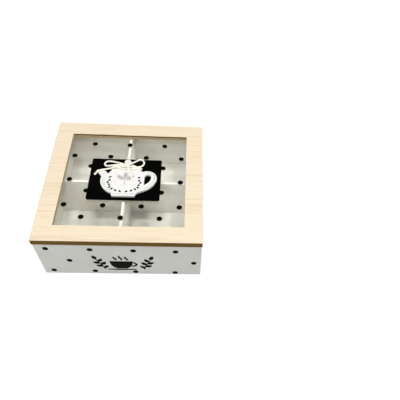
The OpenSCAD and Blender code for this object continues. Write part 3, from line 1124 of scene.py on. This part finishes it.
@dataclass(frozen=True)
class Twine:
    """How the twine is laid: strands twisted round its middle."""

    diameter: float = 1.9
    strands: int = 3
    strand_share: float = 0.57
    pitch: float = 4.8
    step: float = 0.3
    # at a frayed end the strands stand further apart and are thinner, by these shares
    parting: float = 0.9
    thinning: float = 0.45

    def along(self, points: Sequence[Point | Vector], origin: Point) -> list[Vector]:
        """Run a smooth line through a route's points.

        Args:
            points: the route, in millimetres from the origin.
            origin: the origin in the frame, in millimetres.

        Returns:
            Points about one step apart, in metres.
        """
        route = [Vector(p) + Vector(origin) for p in points]
        ends = [2 * route[0] - route[1], *route, 2 * route[-1] - route[-2]]
        line: list[Vector] = []
        for a, b, c, d in zip(ends, ends[1:], ends[2:], ends[3:]):
            count = max(2, round((c - b).length / self.step))
            for i in range(count):
                t = i / count
                line.append(
                    b
                    + 0.5 * t * (c - a)
                    + t * t * (a - 2.5 * b + 2 * c - 0.5 * d)
                    + t * t * t * 0.5 * (d - a + 3 * (b - c))
                )
        line.append(route[-1])
        return [p * MM for p in line]

    def lay(self, line: Sequence[Vector], fray: float = 0.0) -> bpy.types.Mesh:
        """Twist strands round a line.

        Args:
            line: the twine's middle, in metres.
            fray: the length in millimetres over which the strands part at the far end.

        Returns:
            The strands' mesh.
        """
        width = self.diameter * self.strand_share
        offset = (self.diameter - width) / 2 * MM
        total = sum((b - a).length for a, b in zip(line, line[1:]))
        side = (line[1] - line[0]).orthogonal().normalized()
        tracks: list[list[tuple[Vector, float]]] = [[] for _ in range(self.strands)]
        run = 0.0
        for i, point in enumerate(line):
            ahead = (line[min(i + 1, len(line) - 1)] - line[max(i - 1, 0)]).normalized()
            side = (side - ahead * side.dot(ahead)).normalized()
            if i:
                run += (point - line[i - 1]).length
            left = max(0.0, 1 - (total - run) / (fray * MM)) if fray else 0.0
            for k, track in enumerate(tracks):
                angle = math.tau * (min(run, total - fray * MM) / (self.pitch * MM) + k / self.strands)
                out = math.cos(angle) * side + math.sin(angle) * ahead.cross(side)
                apart = out * offset * (1 + self.parting * left)
                track.append((point + apart, 1 - self.thinning * left))
        return rods_along(tracks, width / 2, 2)


@dataclass
class TwineBow:
    """The bow tied round the ornament's neck, and its two tails."""

    origin: Point = (0.0, MIDDLE_Y, ORNAMENT.high[2])
    twine: Twine = field(default_factory=Twine)
    knot_twine: Twine = field(default_factory=lambda: Twine(diameter=1.6, pitch=3.8, step=0.15))
    left_loop: tuple[Point, ...] = (
        (-2.1, 16.5, 2.3), (-5.2, 18.4, 1.6), (-9, 20.5, 0.5), (-13, 22.4, -0.6),
        (-16.6, 23.7, -1.3), (-19.6, 24, -1.5), (-22, 22.9, -1.5), (-23.2, 20.5, -1.2),
        (-22.7, 17.7, -0.5), (-20.7, 15.6, 0.4), (-17.7, 14.6, 1.6), (-13.5, 14.4, 2.8),
        (-8, 14.9, 3.4), (-2.1, 15, 3.1),
    )  # fmt: skip
    right_loop: tuple[Point, ...] = (
        (3.3, 16.4, 2.6), (5.8, 18.8, 2.1), (8.5, 22, 0.7), (10.8, 25.3, -0.7),
        (13.3, 27.4, -1.5), (15.9, 26.7, -1.5), (17.5, 23.8, -1.2), (17.7, 20.3, -0.5),
        (16.5, 17.2, 0.2), (13.9, 15, 0.8), (10.4, 14.3, 0.9), (6.4, 14.6, 1.2),
        (3.3, 14.7, 1.3),
    )  # fmt: skip
    long_tail: tuple[Point, ...] = (
        (-2.1, 14.3, 1.5), (-4.5, 14, 1.7), (-7.5, 13.5, 2.4), (-10.3, 12.9, 2.6),
        (-13.2, 12.3, 1.9), (-16.2, 11.6, 1.1), (-19.6, 10.8, 0.85), (-23.2, 9.9, 0.85),
        (-26.6, 8.7, 0.85), (-29.3, 6.8, 0.8), (-30.5, 5.6, 0.3), (-31.4, 4.7, -0.5),
    )  # fmt: skip
    short_tail: tuple[Point, ...] = (
        (1.8, 13.8, 3.1), (2.1, 12.2, 2.9), (2.8, 10.2, 2), (3.7, 8.1, 1.1),
        (4.7, 5.6, 0.85), (5.9, 2.4, 0.85), (7, -1, 0.85), (7.8, -4.6, 0.85),
    )  # fmt: skip
    neck_wrap: tuple[Point, ...] = (
        (-14.1, 16, -1.6), (-14, 15.9, -0.4), (-13.5, 15.6, 0.5), (-12.2, 14.8, 0.88),
        (-10.2, 13.7, 0.88), (-7.6, 12.7, 0.88), (-4, 12.1, 0.88), (0, 12, 0.88),
        (5, 12, 0.88), (9.4, 12.2, 0.88), (12.4, 12.5, 0.88), (14, 13, 0.85),
        (15.1, 13.4, 0.5), (15.5, 13.5, -0.4), (15.5, 13.4, -1.6),
    )  # fmt: skip
    knot: Point = (0.6, 15.2, 1.9)
    knot_turns: float = 2.6
    knot_radius: float = 1.15
    knot_length: float = 3.9
    # the knot is thicker in its middle, and wider than it is high
    knot_swell: float = 0.14
    knot_flat: tuple[float, float] = (1.1, 0.9)
    end_knot: Point = (-31.4, 4.7, -0.5)
    end_knot_radius: float = 0.62
    end_knot_twine: Twine = field(default_factory=lambda: Twine(1.25, pitch=3.0, step=0.1))
    strand_shading: float = 80.0
    hairs: int = 90
    hair_length: tuple[float, float] = (0.6, 1.5)
    hair_curl: tuple[float, float] = (0.2, 0.7)
    hair_radius: float = 0.035
    hair_taper: float = 0.6
    chance: int = 11

    def tie(self, material: bpy.types.Material) -> None:
        """Args:
            material: the twine's finish.
        """
        wrap = self._length("laid_neck_wrap", "neck_wrap", self.neck_wrap, material)[0]
        short = self._length("laid_short_tail", "short_tail", self.short_tail, material, 2.2)[0]
        knot = self._knot(material)
        end = self._end_knot(material)
        strays = self._strays(material)
        for name, node, route, far, pieces in (
            ("laid_left_loop", "left_bow_loop", self.left_loop, "object", [wrap, knot, strays]),
            ("laid_right_loop", "right_bow_loop", self.right_loop, "object", [short]),
            ("laid_long_tail", "long_tail", self.long_tail, "knot", [end]),
        ):
            piece, line = self._length(name, node, route, material)

    def _length(
        self,
        name: str,
        node: str,
        route: Sequence[Point],
        material: bpy.types.Material,
        fray: float = 0.0,
    ) -> tuple[bpy.types.Object, list[Vector]]:
        """Make one length of twine in a CAD node's place, and give it with its middle line."""
        line = self.twine.along(route, self.origin)
        return self._piece(name, self.twine.lay(line, fray), material, node), line

    def _piece(
        self, name: str, mesh: bpy.types.Mesh, material: bpy.types.Material, node: str
    ) -> bpy.types.Object:
        """Put laid twine in a CAD node's place, with its strands shaded round."""
        shading = self.strand_shading
        return finish_piece(name, mesh, [material], Body.LID, [node], shading)

    def _knot(self, material: bpy.types.Material) -> bpy.types.Object:
        """Wind the bow's middle: turns of twine across the loops' roots.

        Args:
            material: the twine's finish.

        Returns:
            The knot.
        """
        wide, high = self.knot_flat
        count = 16 * math.ceil(self.knot_turns)
        points = []
        for i in range(count + 1):
            t = i / count
            angle = math.tau * self.knot_turns * t
            swell = self.knot_radius * (1 - self.knot_swell * (1 - math.sin(math.pi * t)))
            along = (t - 0.5) * self.knot_length
            turn = Vector((along, math.cos(angle) * swell * wide, math.sin(angle) * swell * high))
            points.append(Vector(self.knot) + turn)
        mesh = self.knot_twine.lay(self.knot_twine.along(points, self.origin))
        return self._piece("wound_bow_knot", mesh, material, "bow_knot")

    def _end_knot(self, material: bpy.types.Material) -> bpy.types.Object:
        """Tie the long tail's end: a small overhand knot, whose line is a trefoil.

        Args:
            material: the twine's finish.

        Returns:
            The knot.
        """
        points = []
        for a in (math.tau * i / 40 for i in range(41)):
            across = math.sin(a) + 2 * math.sin(2 * a)
            along = math.cos(a) - 2 * math.cos(2 * a)
            trefoil = Vector((across, along, -1.4 * math.sin(3 * a)))
            points.append(Vector(self.end_knot) + self.end_knot_radius / 2.2 * trefoil)
        mesh = self.end_knot_twine.lay(self.end_knot_twine.along(points, self.origin))
        return self._piece("tied_tail_end", mesh, material, "tail_end_knot")

    def _strays(self, material: bpy.types.Material) -> bpy.types.Object:
        """Grow short stray fibres out of the loops and tails.

        Args:
            material: the twine's finish.

        Returns:
            The fibres.
        """
        chance = random.Random(self.chance)
        lines = [
            self.twine.along(route, self.origin)
            for route in (self.left_loop, self.right_loop, self.long_tail, self.short_tail)
        ]
        hairs = []
        for _ in range(self.hairs):
            line = chance.choice(lines)
            # none grows at a very end, where a knot hides it
            i = chance.randrange(4, len(line) - 6)
            ahead = (line[i + 1] - line[i - 1]).normalized()
            turn = Matrix.Rotation(chance.uniform(0, math.tau), 3, ahead)
            out = turn @ ahead.orthogonal().normalized()
            # none stands up straight or grows down into the twine
            out.z = min(abs(out.z), 0.4)
            start = line[i] + out * self.twine.diameter * 0.4 * MM
            long = chance.uniform(*self.hair_length) * MM
            curl = chance.uniform(*self.hair_curl)
            hair = []
            for t in (0.0, 1 / 3, 2 / 3, 1.0):
                place = start + (out * t * (1 - curl * t) + ahead * t * t * curl) * long
                hair.append((place, 1 - self.hair_taper * t))
            hairs.append(hair)
        mesh = rods_along(hairs, self.hair_radius, 0, caps=False)
        return finish_piece("stray_fibres", mesh, [material], Body.LID)


# ---------------------------------------------------------------- prints


@dataclass
class DotPrint:
    """Printed dots in staggered rows."""

    radius: float = 2.8
    height: float = 0.04
    sides: int = 32

    def dot(self, bm: bmesh.types.BMesh, x: float, y: float, place: Matrix) -> None:
        """Add one dot.

        Args:
            bm: the bmesh that it goes into.
            x: its middle in the print's plane, in millimetres.
            y: the same, upwards.
            place: where the print's plane lies in the frame.
        """
        made = bmesh.ops.create_circle(
            bm, cap_ends=True, segments=self.sides, radius=self.radius * MM
        )
        old = set(bm.verts) - set(made["verts"])
        face = made["verts"][0].link_faces[0]
        raise_print(bm, [face], self.height)
        verts = [v for v in bm.verts if v not in old]
        bmesh.ops.transform(
            bm, matrix=place @ Matrix.Translation((x * MM, y * MM, 0)), verts=verts
        )


@dataclass
class CupMotif:
    """A steaming cup on its saucer between two leafy sprigs, as a flat print."""

    middle: tuple[float, float] = (2.0, 20.9)
    height: float = 0.04
    cup_w: float = 22.5
    cup_h: float = 14.0
    # the bowl's curve ends at this share of its way to a point, and is this full
    bowl_end: float = 0.93
    bowl_curve: float = 2.6
    leaf_l: float = 7.8
    leaf_w: float = 4.6
    leaf_tip_w: float = 0.15
    leaf_belly: float = 0.85
    cup_x: float = -0.6
    rim_y: float = 4.2
    saucer_y: float = -11.7
    saucer_l: float = 29.0
    saucer_w: float = 2.5
    saucer_taper: float = 4.0
    handle_in: float = 1.6
    handle_out: float = 5.4
    handle_h: float = 7.6
    handle_y: float = 2.2
    handle_w: float = 2.2
    handle_sway: float = 0.6
    steam_y: float = 5.9
    steam_sway: float = 1.1
    steam_w: tuple[float, float] = (0.6, 1.8)
    steam: tuple[tuple[float, float], ...] = ((-5.6, 7.0), (0.0, 8.8), (5.6, 7.0))
    stem_foot: tuple[float, float] = (19.6, -11.0)
    stem_run: tuple[float, float] = (7.2, 21.0)
    stem_bend: float = 2.5
    stem_w: float = 1.7
    stem_taper: float = 0.8
    leaves: tuple[tuple[float, float, float], ...] = (
        (0.1, 62, 0.86), (0.24, -50, 0.95), (0.4, 60, 1.0),
        (0.55, -48, 0.98), (0.72, 56, 0.92), (0.98, 4, 1.0),
    )  # fmt: skip

    def strip(
        self,
        bm: bmesh.types.BMesh,
        spine: Callable[[float], tuple[float, float]],
        width: Callable[[float], float],
        parts: int = 20,
    ) -> None:
        """Add a flat ribbon that follows a spine.

        Args:
            bm: the bmesh that it goes into.
            spine: the ribbon's middle at a share of its length, in millimetres.
            width: its width there.
            parts: how many steps it has.
        """
        made = bmesh.ops.create_grid(bm, x_segments=parts, y_segments=1, size=0.5)
        for vert in made["verts"]:
            t = vert.co.x + 0.5
            here, near = Vector(spine(t)), Vector(spine(t + 0.01))
            across = Vector((here.y - near.y, near.x - here.x)).normalized()
            flat = here + across * vert.co.y * width(t)
            vert.co = (flat.x * MM, flat.y * MM, 0)

    def leaf(self, bm: bmesh.types.BMesh, x: float, y: float, turn: float, size: float) -> None:
        """Add a pointed leaf that grows from a point.

        Args:
            bm: the bmesh that it goes into.
            x: its stalk's end, in millimetres.
            y: the same, upwards.
            turn: its direction in degrees from the x axis.
            size: its size as a share of a whole leaf.
        """
        a = math.radians(turn)
        long, wide = self.leaf_l * size, self.leaf_w * size
        self.strip(
            bm,
            lambda t: (x + math.cos(a) * long * t, y + math.sin(a) * long * t),
            lambda t: max(
                self.leaf_tip_w, wide * math.sin(math.pi * min(1.0, t) ** self.leaf_belly)
            ),
            12,
        )

    def sprig(self, bm: bmesh.types.BMesh, side: int) -> None:
        """Add a sprig that leans outwards.

        Args:
            bm: the bmesh that it goes into.
            side: -1 for the left one, 1 for the right one.
        """
        cx, cy = self.middle

        def stem(t: float) -> tuple[float, float]:
            """Give the stem's place.

            Args:
                t: the share of its length, from 0 at its foot.

            Returns:
                The place in the print's plane, in millimetres.
            """
            out = self.stem_foot[0] + self.stem_run[0] * t
            up = self.stem_foot[1] + self.stem_run[1] * t - self.stem_bend * t * t
            return (cx + side * out, cy + up)

        self.strip(bm, stem, lambda t: self.stem_w - self.stem_taper * t)
        for t, lean, size in self.leaves:
            here, near = stem(t), stem(t + 0.02)
            run = math.degrees(math.atan2(near[1] - here[1], near[0] - here[0]))
            self.leaf(bm, here[0], here[1], run + side * lean, size)

    def cup(self, bm: bmesh.types.BMesh) -> None:
        """Add the cup, its handle, the saucer and the steam.

        Args:
            bm: the bmesh that they go into.
        """
        cx, cy = self.cup_x, self.middle[1]
        half = self.cup_w / 2
        thin, swell = self.steam_w
        # the bowl narrows to its foot in a full curve
        self.strip(
            bm,
            lambda t: (cx, cy + self.rim_y - self.cup_h * t),
            lambda t: 2 * half * math.sqrt(1 - (self.bowl_end * min(1.0, t)) ** self.bowl_curve),
            24,
        )
        self.strip(
            bm,
            lambda t: (cx + self.saucer_l * (t - 0.5), cy + self.saucer_y),
            lambda t: self.saucer_w - self.saucer_taper * (t - 0.5) ** 2,
        )
        self.strip(
            bm,
            lambda t: (
                cx + half - self.handle_in + self.handle_out * math.sin(math.pi * t),
                cy
                + self.handle_y
                - self.handle_h * t
                + self.handle_sway * math.sin(math.tau * t),
            ),
            lambda t: self.handle_w,
        )
        for shift, rise in self.steam:
            self.strip(
                bm,
                lambda t, s=shift, r=rise: (
                    cx + s + self.steam_sway * math.sin(math.tau * t),
                    cy + self.steam_y + r * t,
                ),
                lambda t: thin + swell * math.sin(math.pi * min(1.0, t)),
            )

    def build(self, place: Matrix) -> bpy.types.Mesh:
        """Make the whole print.

        Args:
            place: where the print's plane lies in the frame.

        Returns:
            The print's mesh.
        """
        bm = bmesh.new()
        self.cup(bm)
        for side in (-1, 1):
            self.sprig(bm, side)
        bmesh.ops.remove_doubles(bm, verts=bm.verts, dist=TOUCHING * MM)
        bmesh.ops.recalc_face_normals(bm, faces=bm.faces)
        raise_print(bm, bm.faces[:], self.height)
        bmesh.ops.transform(bm, matrix=place, verts=bm.verts)
        return mesh_of(bm)


# ---------------------------------------------------------------- case


@dataclass
class Case:
    """The painted case with its four compartments and its printed outer faces."""

    slant: float = -0.0195
    # each row's height, and its dots' places from the face's middle
    rows: tuple[tuple[float, tuple[float, ...]], ...] = (
        (45.2, (-68.9, -27.6, 13.5, 54.1)),
        (24.6, (-50.6, -9.5, 31.6, 72.2)),
        (4.8, (-70.1, -28.8, 12.4, 53.2)),
    )
    # the motif takes these dots' place
    bare: tuple[tuple[float, float], ...] = ((24.6, -9.5), (24.6, 31.6))
    motif: CupMotif = field(default_factory=CupMotif)
    dots: DotPrint = field(default_factory=DotPrint)
    boards: tuple[str, ...] = (
        "front_wall",
        "back_wall",
        "left_wall",
        "right_wall",
        "floor_panel",
        "front_to_back_divider",
        "side_to_side_divider",
    )

    def plane(self, side: Side) -> Matrix:
        """Give the place of a face's print, whose x runs to the right and y upwards.

        Args:
            side: the outer face.

        Returns:
            The matrix from the print's plane to the frame.
        """
        return (
            Matrix.Translation((0, MIDDLE_Y * MM, 0))
            @ Matrix.Rotation(math.radians(side.value), 4, "Z")
            @ Matrix.Translation((0, -FRONT_WALL.half(0) * MM, 0))
            @ Matrix.Rotation(math.radians(90), 4, "X")
        )

    def print_dots(self, side: Side, ink: bpy.types.Material) -> None:
        """Print a face's dots.

        Args:
            side: the outer face.
            ink: the print's finish.
        """
        bm = bmesh.new()
        for height, places in self.rows:
            for x in places:
                if side is Side.FRONT and (height, x) in self.bare:
                    continue
                self.dots.dot(bm, x, height + self.slant * x, self.plane(side))
        name = f"printed_dots_{side.name.lower()}"
        finish_piece(name, mesh_of(bm), [ink], Body.CASE)

    def build(self, finishes: Finishes) -> None:
        """Dress the boards and print the outer faces.

        Args:
            finishes: the box's finishes.
        """
        dress(self.boards, finishes.paint)
        for side in Side:
            self.print_dots(side, finishes.ink)
        mesh = self.motif.build(self.plane(Side.FRONT))
        finish_piece("printed_cup_and_sprigs", mesh, [finishes.ink], Body.CASE)


# ---------------------------------------------------------------- lid


@dataclass
class Lid:
    """The veneered lid with its glass and the dots printed on it."""

    slide: tuple[float, float] = (-0.5, -0.35)
    turn: float = -0.37
    # a dot whose middle lies further in under the plaque than this is left out
    hidden: float = 2.5
    # the dots' places in rows of four and of three, and the rows' own places
    four: tuple[float, ...] = (-57.2, -19.0, 19.2, 57.3)
    three: tuple[float, ...] = (-38.1, 0.0, 38.2)
    rows: tuple[float, ...] = (-47.8, -32.9, -14.3, 0.4, 19.6, 34.2, 52.9)
    dots: DotPrint = field(default_factory=DotPrint)

    def print_dots(self, ink: bpy.types.Material) -> None:
        """Print the glass, but for the dots that the plaque hides.

        Args:
            ink: the print's finish.
        """
        bm = bmesh.new()
        # the print lies a little askew on the glass
        place = (self.slide[0] * MM, (MIDDLE_Y + self.slide[1]) * MM, PANE.high[2] * MM)
        plane = Matrix.Translation(place) @ Matrix.Rotation(math.radians(self.turn), 4, "Z")
        for i, y in enumerate(self.rows):
            for x in self.four if i % 2 else self.three:
                inside_x = abs(x - PLAQUE.middle(0)) < PLAQUE.half(0) - self.hidden
                inside_y = abs(y + MIDDLE_Y - PLAQUE.middle(1)) < PLAQUE.half(1) - self.hidden
                if not (inside_x and inside_y):
                    self.dots.dot(bm, x, y, plane)
        finish_piece("printed_dots_glass", mesh_of(bm), [ink], Body.LID)

    def build(self, finishes: Finishes) -> None:
        """Dress the lid's board, glass and glue, and print the glass.

        Args:
            finishes: the box's finishes.
        """
        dress(["lid_frame"], finishes.pine)
        dress(["glass_pane"], finishes.glass)
        dress(["glass_adhesive"], finishes.glue)
        self.print_dots(finishes.ink)


@dataclass
class Plaque:
    """The black board on the glass, with softened edges."""

    node: str = "plaque"
    edge: float = 0.3
    # edges that turn by more degrees than this are rounded
    sharp: float = 60.0

    def build(self, black: bpy.types.Material) -> None:
        """Make the board.

        Args:
            black: its finish.
        """
        bm = merged_copy(self.node)
        round_edges(bm, sharp_edges(bm, self.sharp), self.edge, 3)
        board = finish_piece(
            "black_plaque_board", mesh_of(bm), [black], Body.LID, [self.node]
        )
        even_shading(board)


def walls_at(edge: bmesh.types.BMEdge) -> list[bmesh.types.BMFace]:
    """Give the upright faces that meet at an edge."""
    return [f for f in edge.link_faces if abs(f.normal.z) < 0.5]


class PotFace(IntEnum):
    """The kinds of the ornament's faces, in the order of its finishes."""

    PAINT = 0
    GROOVE = 1
    SOOT = 2


@dataclass
class TeapotOrnament:
    """The cut and painted teapot, with rounded edges and engraved lines."""

    node: str = "teapot_ornament"
    top: float = ORNAMENT.high[2]
    edge: float = 0.42
    slot_edge: float = 0.12
    slot_l: float = 4.0
    # a slot's ring has fewer edges than this
    slot_edges: int = 60
    # a wall that goes right through reaches this near to the underside
    through: float = 0.2
    # a face that lies deeper than this is the bottom of the sunk sprig
    sunk: float = 0.3
    line_w: float = 0.75
    line_depth: float = 0.22
    # curved lines: their middle, two radii, and first and last angle in degrees
    lines: tuple[tuple[tuple[float, float], float, float, float, float], ...] = (
        ((0.0, -3.0), 22.6, 17.9, 170.0, 234.0),
        ((22.3, 0.2), 7.8, 7.8, 88.0, -8.0),
        ((12.1, 2.3), 18.2, 18.2, -10.0, -66.0),
    )
    # the straight line over the foot: half its length, and its place
    foot_line: tuple[float, float] = (10.8, -21.6)
    line_steps: int = 40

    def _engraved_lines(self) -> list[list[Vector]]:
        """Run a middle line through each engraved line.

        Returns:
            Each one's points, in metres.
        """
        lines = []
        for (cx, cy), rx, ry, first, last in self.lines:
            steps = range(self.line_steps + 1)
            angles = [first + (last - first) * i / self.line_steps for i in steps]
            turns = [math.radians(angle) for angle in angles]
            lines.append([(cx + rx * math.cos(a), cy + ry * math.sin(a)) for a in turns])
        half, foot_y = self.foot_line
        lines.append([(-half + 2 * half * i / 8, foot_y) for i in range(9)])
        lift = Vector((0, MIDDLE_Y, self.top + self.line_w / 2 - self.line_depth))
        return [[(Vector((x, y, 0)) + lift) * MM for x, y in line] for line in lines]

    def _cutter(self, groove: bpy.types.Material) -> bpy.types.Object:
        """Make the round bars whose undersides cut the engraved lines.

        Args:
            groove: the finish that they leave behind.

        Returns:
            The bars, joined in one object.
        """
        tracks = [[(place, 1.0) for place in line] for line in self._engraved_lines()]
        bm = bmesh.new()
        bars = rods_along(tracks, self.line_w / 2, 3)
        bm.from_mesh(bars)
        bpy.data.meshes.remove(bars)
        bmesh.ops.remove_doubles(bm, verts=bm.verts, dist=TOUCHING / 2 * MM)
        cutter = put("cutter", mesh_of(bm))
        cutter.data.materials.append(groove)
        return cutter

    def _on_rim(self, edge: bmesh.types.BMEdge) -> bool:
        """Tell whether an edge lies on the upper face and at just one wall."""
        level = (self.top - TOUCHING / 2) * MM
        return len(walls_at(edge)) == 1 and min(v.co.z for v in edge.verts) > level

    def _soften(self, bm: bmesh.types.BMesh) -> None:
        """Round the upper edges of the outline, of the finger hole and of the slots, and give the
        slots' walls and rims the painted shade.

        Args:
            bm: the ornament's bmesh.
        """
        outline, slots = [], []
        for edge in bm.edges:
            if len(edge.link_faces) != 2 or not self._on_rim(edge):
                continue
            wall = walls_at(edge)[0]
            if min(v.co.z for v in wall.verts) > (ORNAMENT.low[2] + self.through) * MM:
                continue
            small = self._ring_size(edge) < self.slot_l * MM
            # a slot's wall takes the painted shade that stands for the shadow in the slot and the
            # black board below
            if small:
                wall.material_index = PotFace.SOOT
            (slots if small else outline).append(edge)
        # so do the slots' rounded rims
        for face in round_edges(bm, slots, self.slot_edge, 1):
            face.material_index = PotFace.SOOT
        outline = [e for e in outline if e.is_valid]
        round_edges(bm, outline, self.edge, 3)

    def _ring_size(self, edge: bmesh.types.BMEdge) -> float:
        """Measure the closed ring of upper edges that an edge belongs to.

        Args:
            edge: one of its edges.

        Returns:
            How far it reaches, in metres.
        """
        seen, todo = {edge}, [edge]
        while todo and len(seen) < self.slot_edges:
            for vert in todo.pop().verts:
                for other in vert.link_edges:
                    if other not in seen and self._on_rim(other):
                        seen.add(other)
                        todo.append(other)
        places = [v.co for e in seen for v in e.verts]
        return max((a - b).length for a in places[:4] for b in places)

    def build(self, finishes: Finishes) -> None:
        """Make the ornament.

        Args:
            finishes: the box's finishes.
        """
        bm = merged_copy(self.node)
        for face in bm.faces:
            centre = face.calc_center_median().z
            sunk = face.normal.z > 0.5 and centre < (self.top - self.sunk) * MM
            face.material_index = PotFace.GROOVE if sunk else PotFace.PAINT
        self._soften(bm)
        pot = finish_piece(
            "engraved_teapot_ornament",
            mesh_of(bm),
            [finishes.ornament, finishes.groove, finishes.soot],
            Body.LID,
            [self.node],
        )
        cutter = self._cutter(finishes.groove)
        cut = pot.modifiers.new("engraving", "BOOLEAN")
        cut.operation, cut.solver, cut.object = "DIFFERENCE", "EXACT", cutter
        # the bars of neighbouring lines run into each other
        cut.material_mode, cut.use_self = "TRANSFER", True
        engraved = bpy.data.meshes.new_from_object(
            pot.evaluated_get(bpy.context.evaluated_depsgraph_get())
        )
        pot.modifiers.remove(cut)
        bpy.data.objects.remove(cutter)
        pot.data = engraved
        even_shading(pot)
        LOG.info("the ornament is engraved: %d faces", len(engraved.polygons))


@dataclass
class Hinges:
    """The two brass butt hinges, their pins and screws, with the stamping's rolled edges."""

    leaves: tuple[tuple[str, Body], ...] = (
        ("left_hinge_case_leaf", Body.CASE),
        ("right_hinge_case_leaf", Body.CASE),
        ("left_hinge_lid_leaf", Body.LID),
        ("right_hinge_lid_leaf", Body.LID),
    )
    screws: tuple[tuple[str, Body], ...] = (
        ("case_hinge_screws", Body.CASE),
        ("lid_hinge_screws", Body.LID),
    )
    pins: tuple[str, ...] = ("left_hinge_pin", "right_hinge_pin")
    edge: float = 0.09
    # a knuckle's strips turn by less than this, in degrees
    sharp: float = 50.0

    def _rolled(self, node: str, body: Body, brass: bpy.types.Material) -> None:
        """Copy a node with rounded sharp edges.

        Args:
            node: the CAD node that the piece replaces.
            body: the body that it rides on.
            brass: its finish.
        """
        bm = merged_copy(node)
        round_edges(bm, sharp_edges(bm, self.sharp), self.edge, 2)
        leaf = finish_piece(f"rolled_{node}", mesh_of(bm), [brass], body, [node])
        even_shading(leaf)

    def build(self, brass: bpy.types.Material) -> None:
        """Dress the hinges.

        Args:
            brass: their finish.
        """
        for node, body in self.leaves:
            self._rolled(node, body, brass)
        dress([node for node, _ in self.screws], brass)
        dress(self.pins, brass)


def main() -> None:
    """Build every piece in order."""
    logging.basicConfig(level=logging.INFO, format="%(name)s: %(message)s")
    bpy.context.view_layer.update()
    studio = Studio()
    studio.place_camera()
    finishes = Finishes()
    TwineBow().tie(finishes.twine)
    Case().build(finishes)
    Lid().build(finishes)
    Plaque().build(finishes.black)
    TeapotOrnament().build(finishes)
    Hinges().build(finishes.brass)
    studio.lay_floor()
    studio.light()


if __name__ == "__main__":
    main()
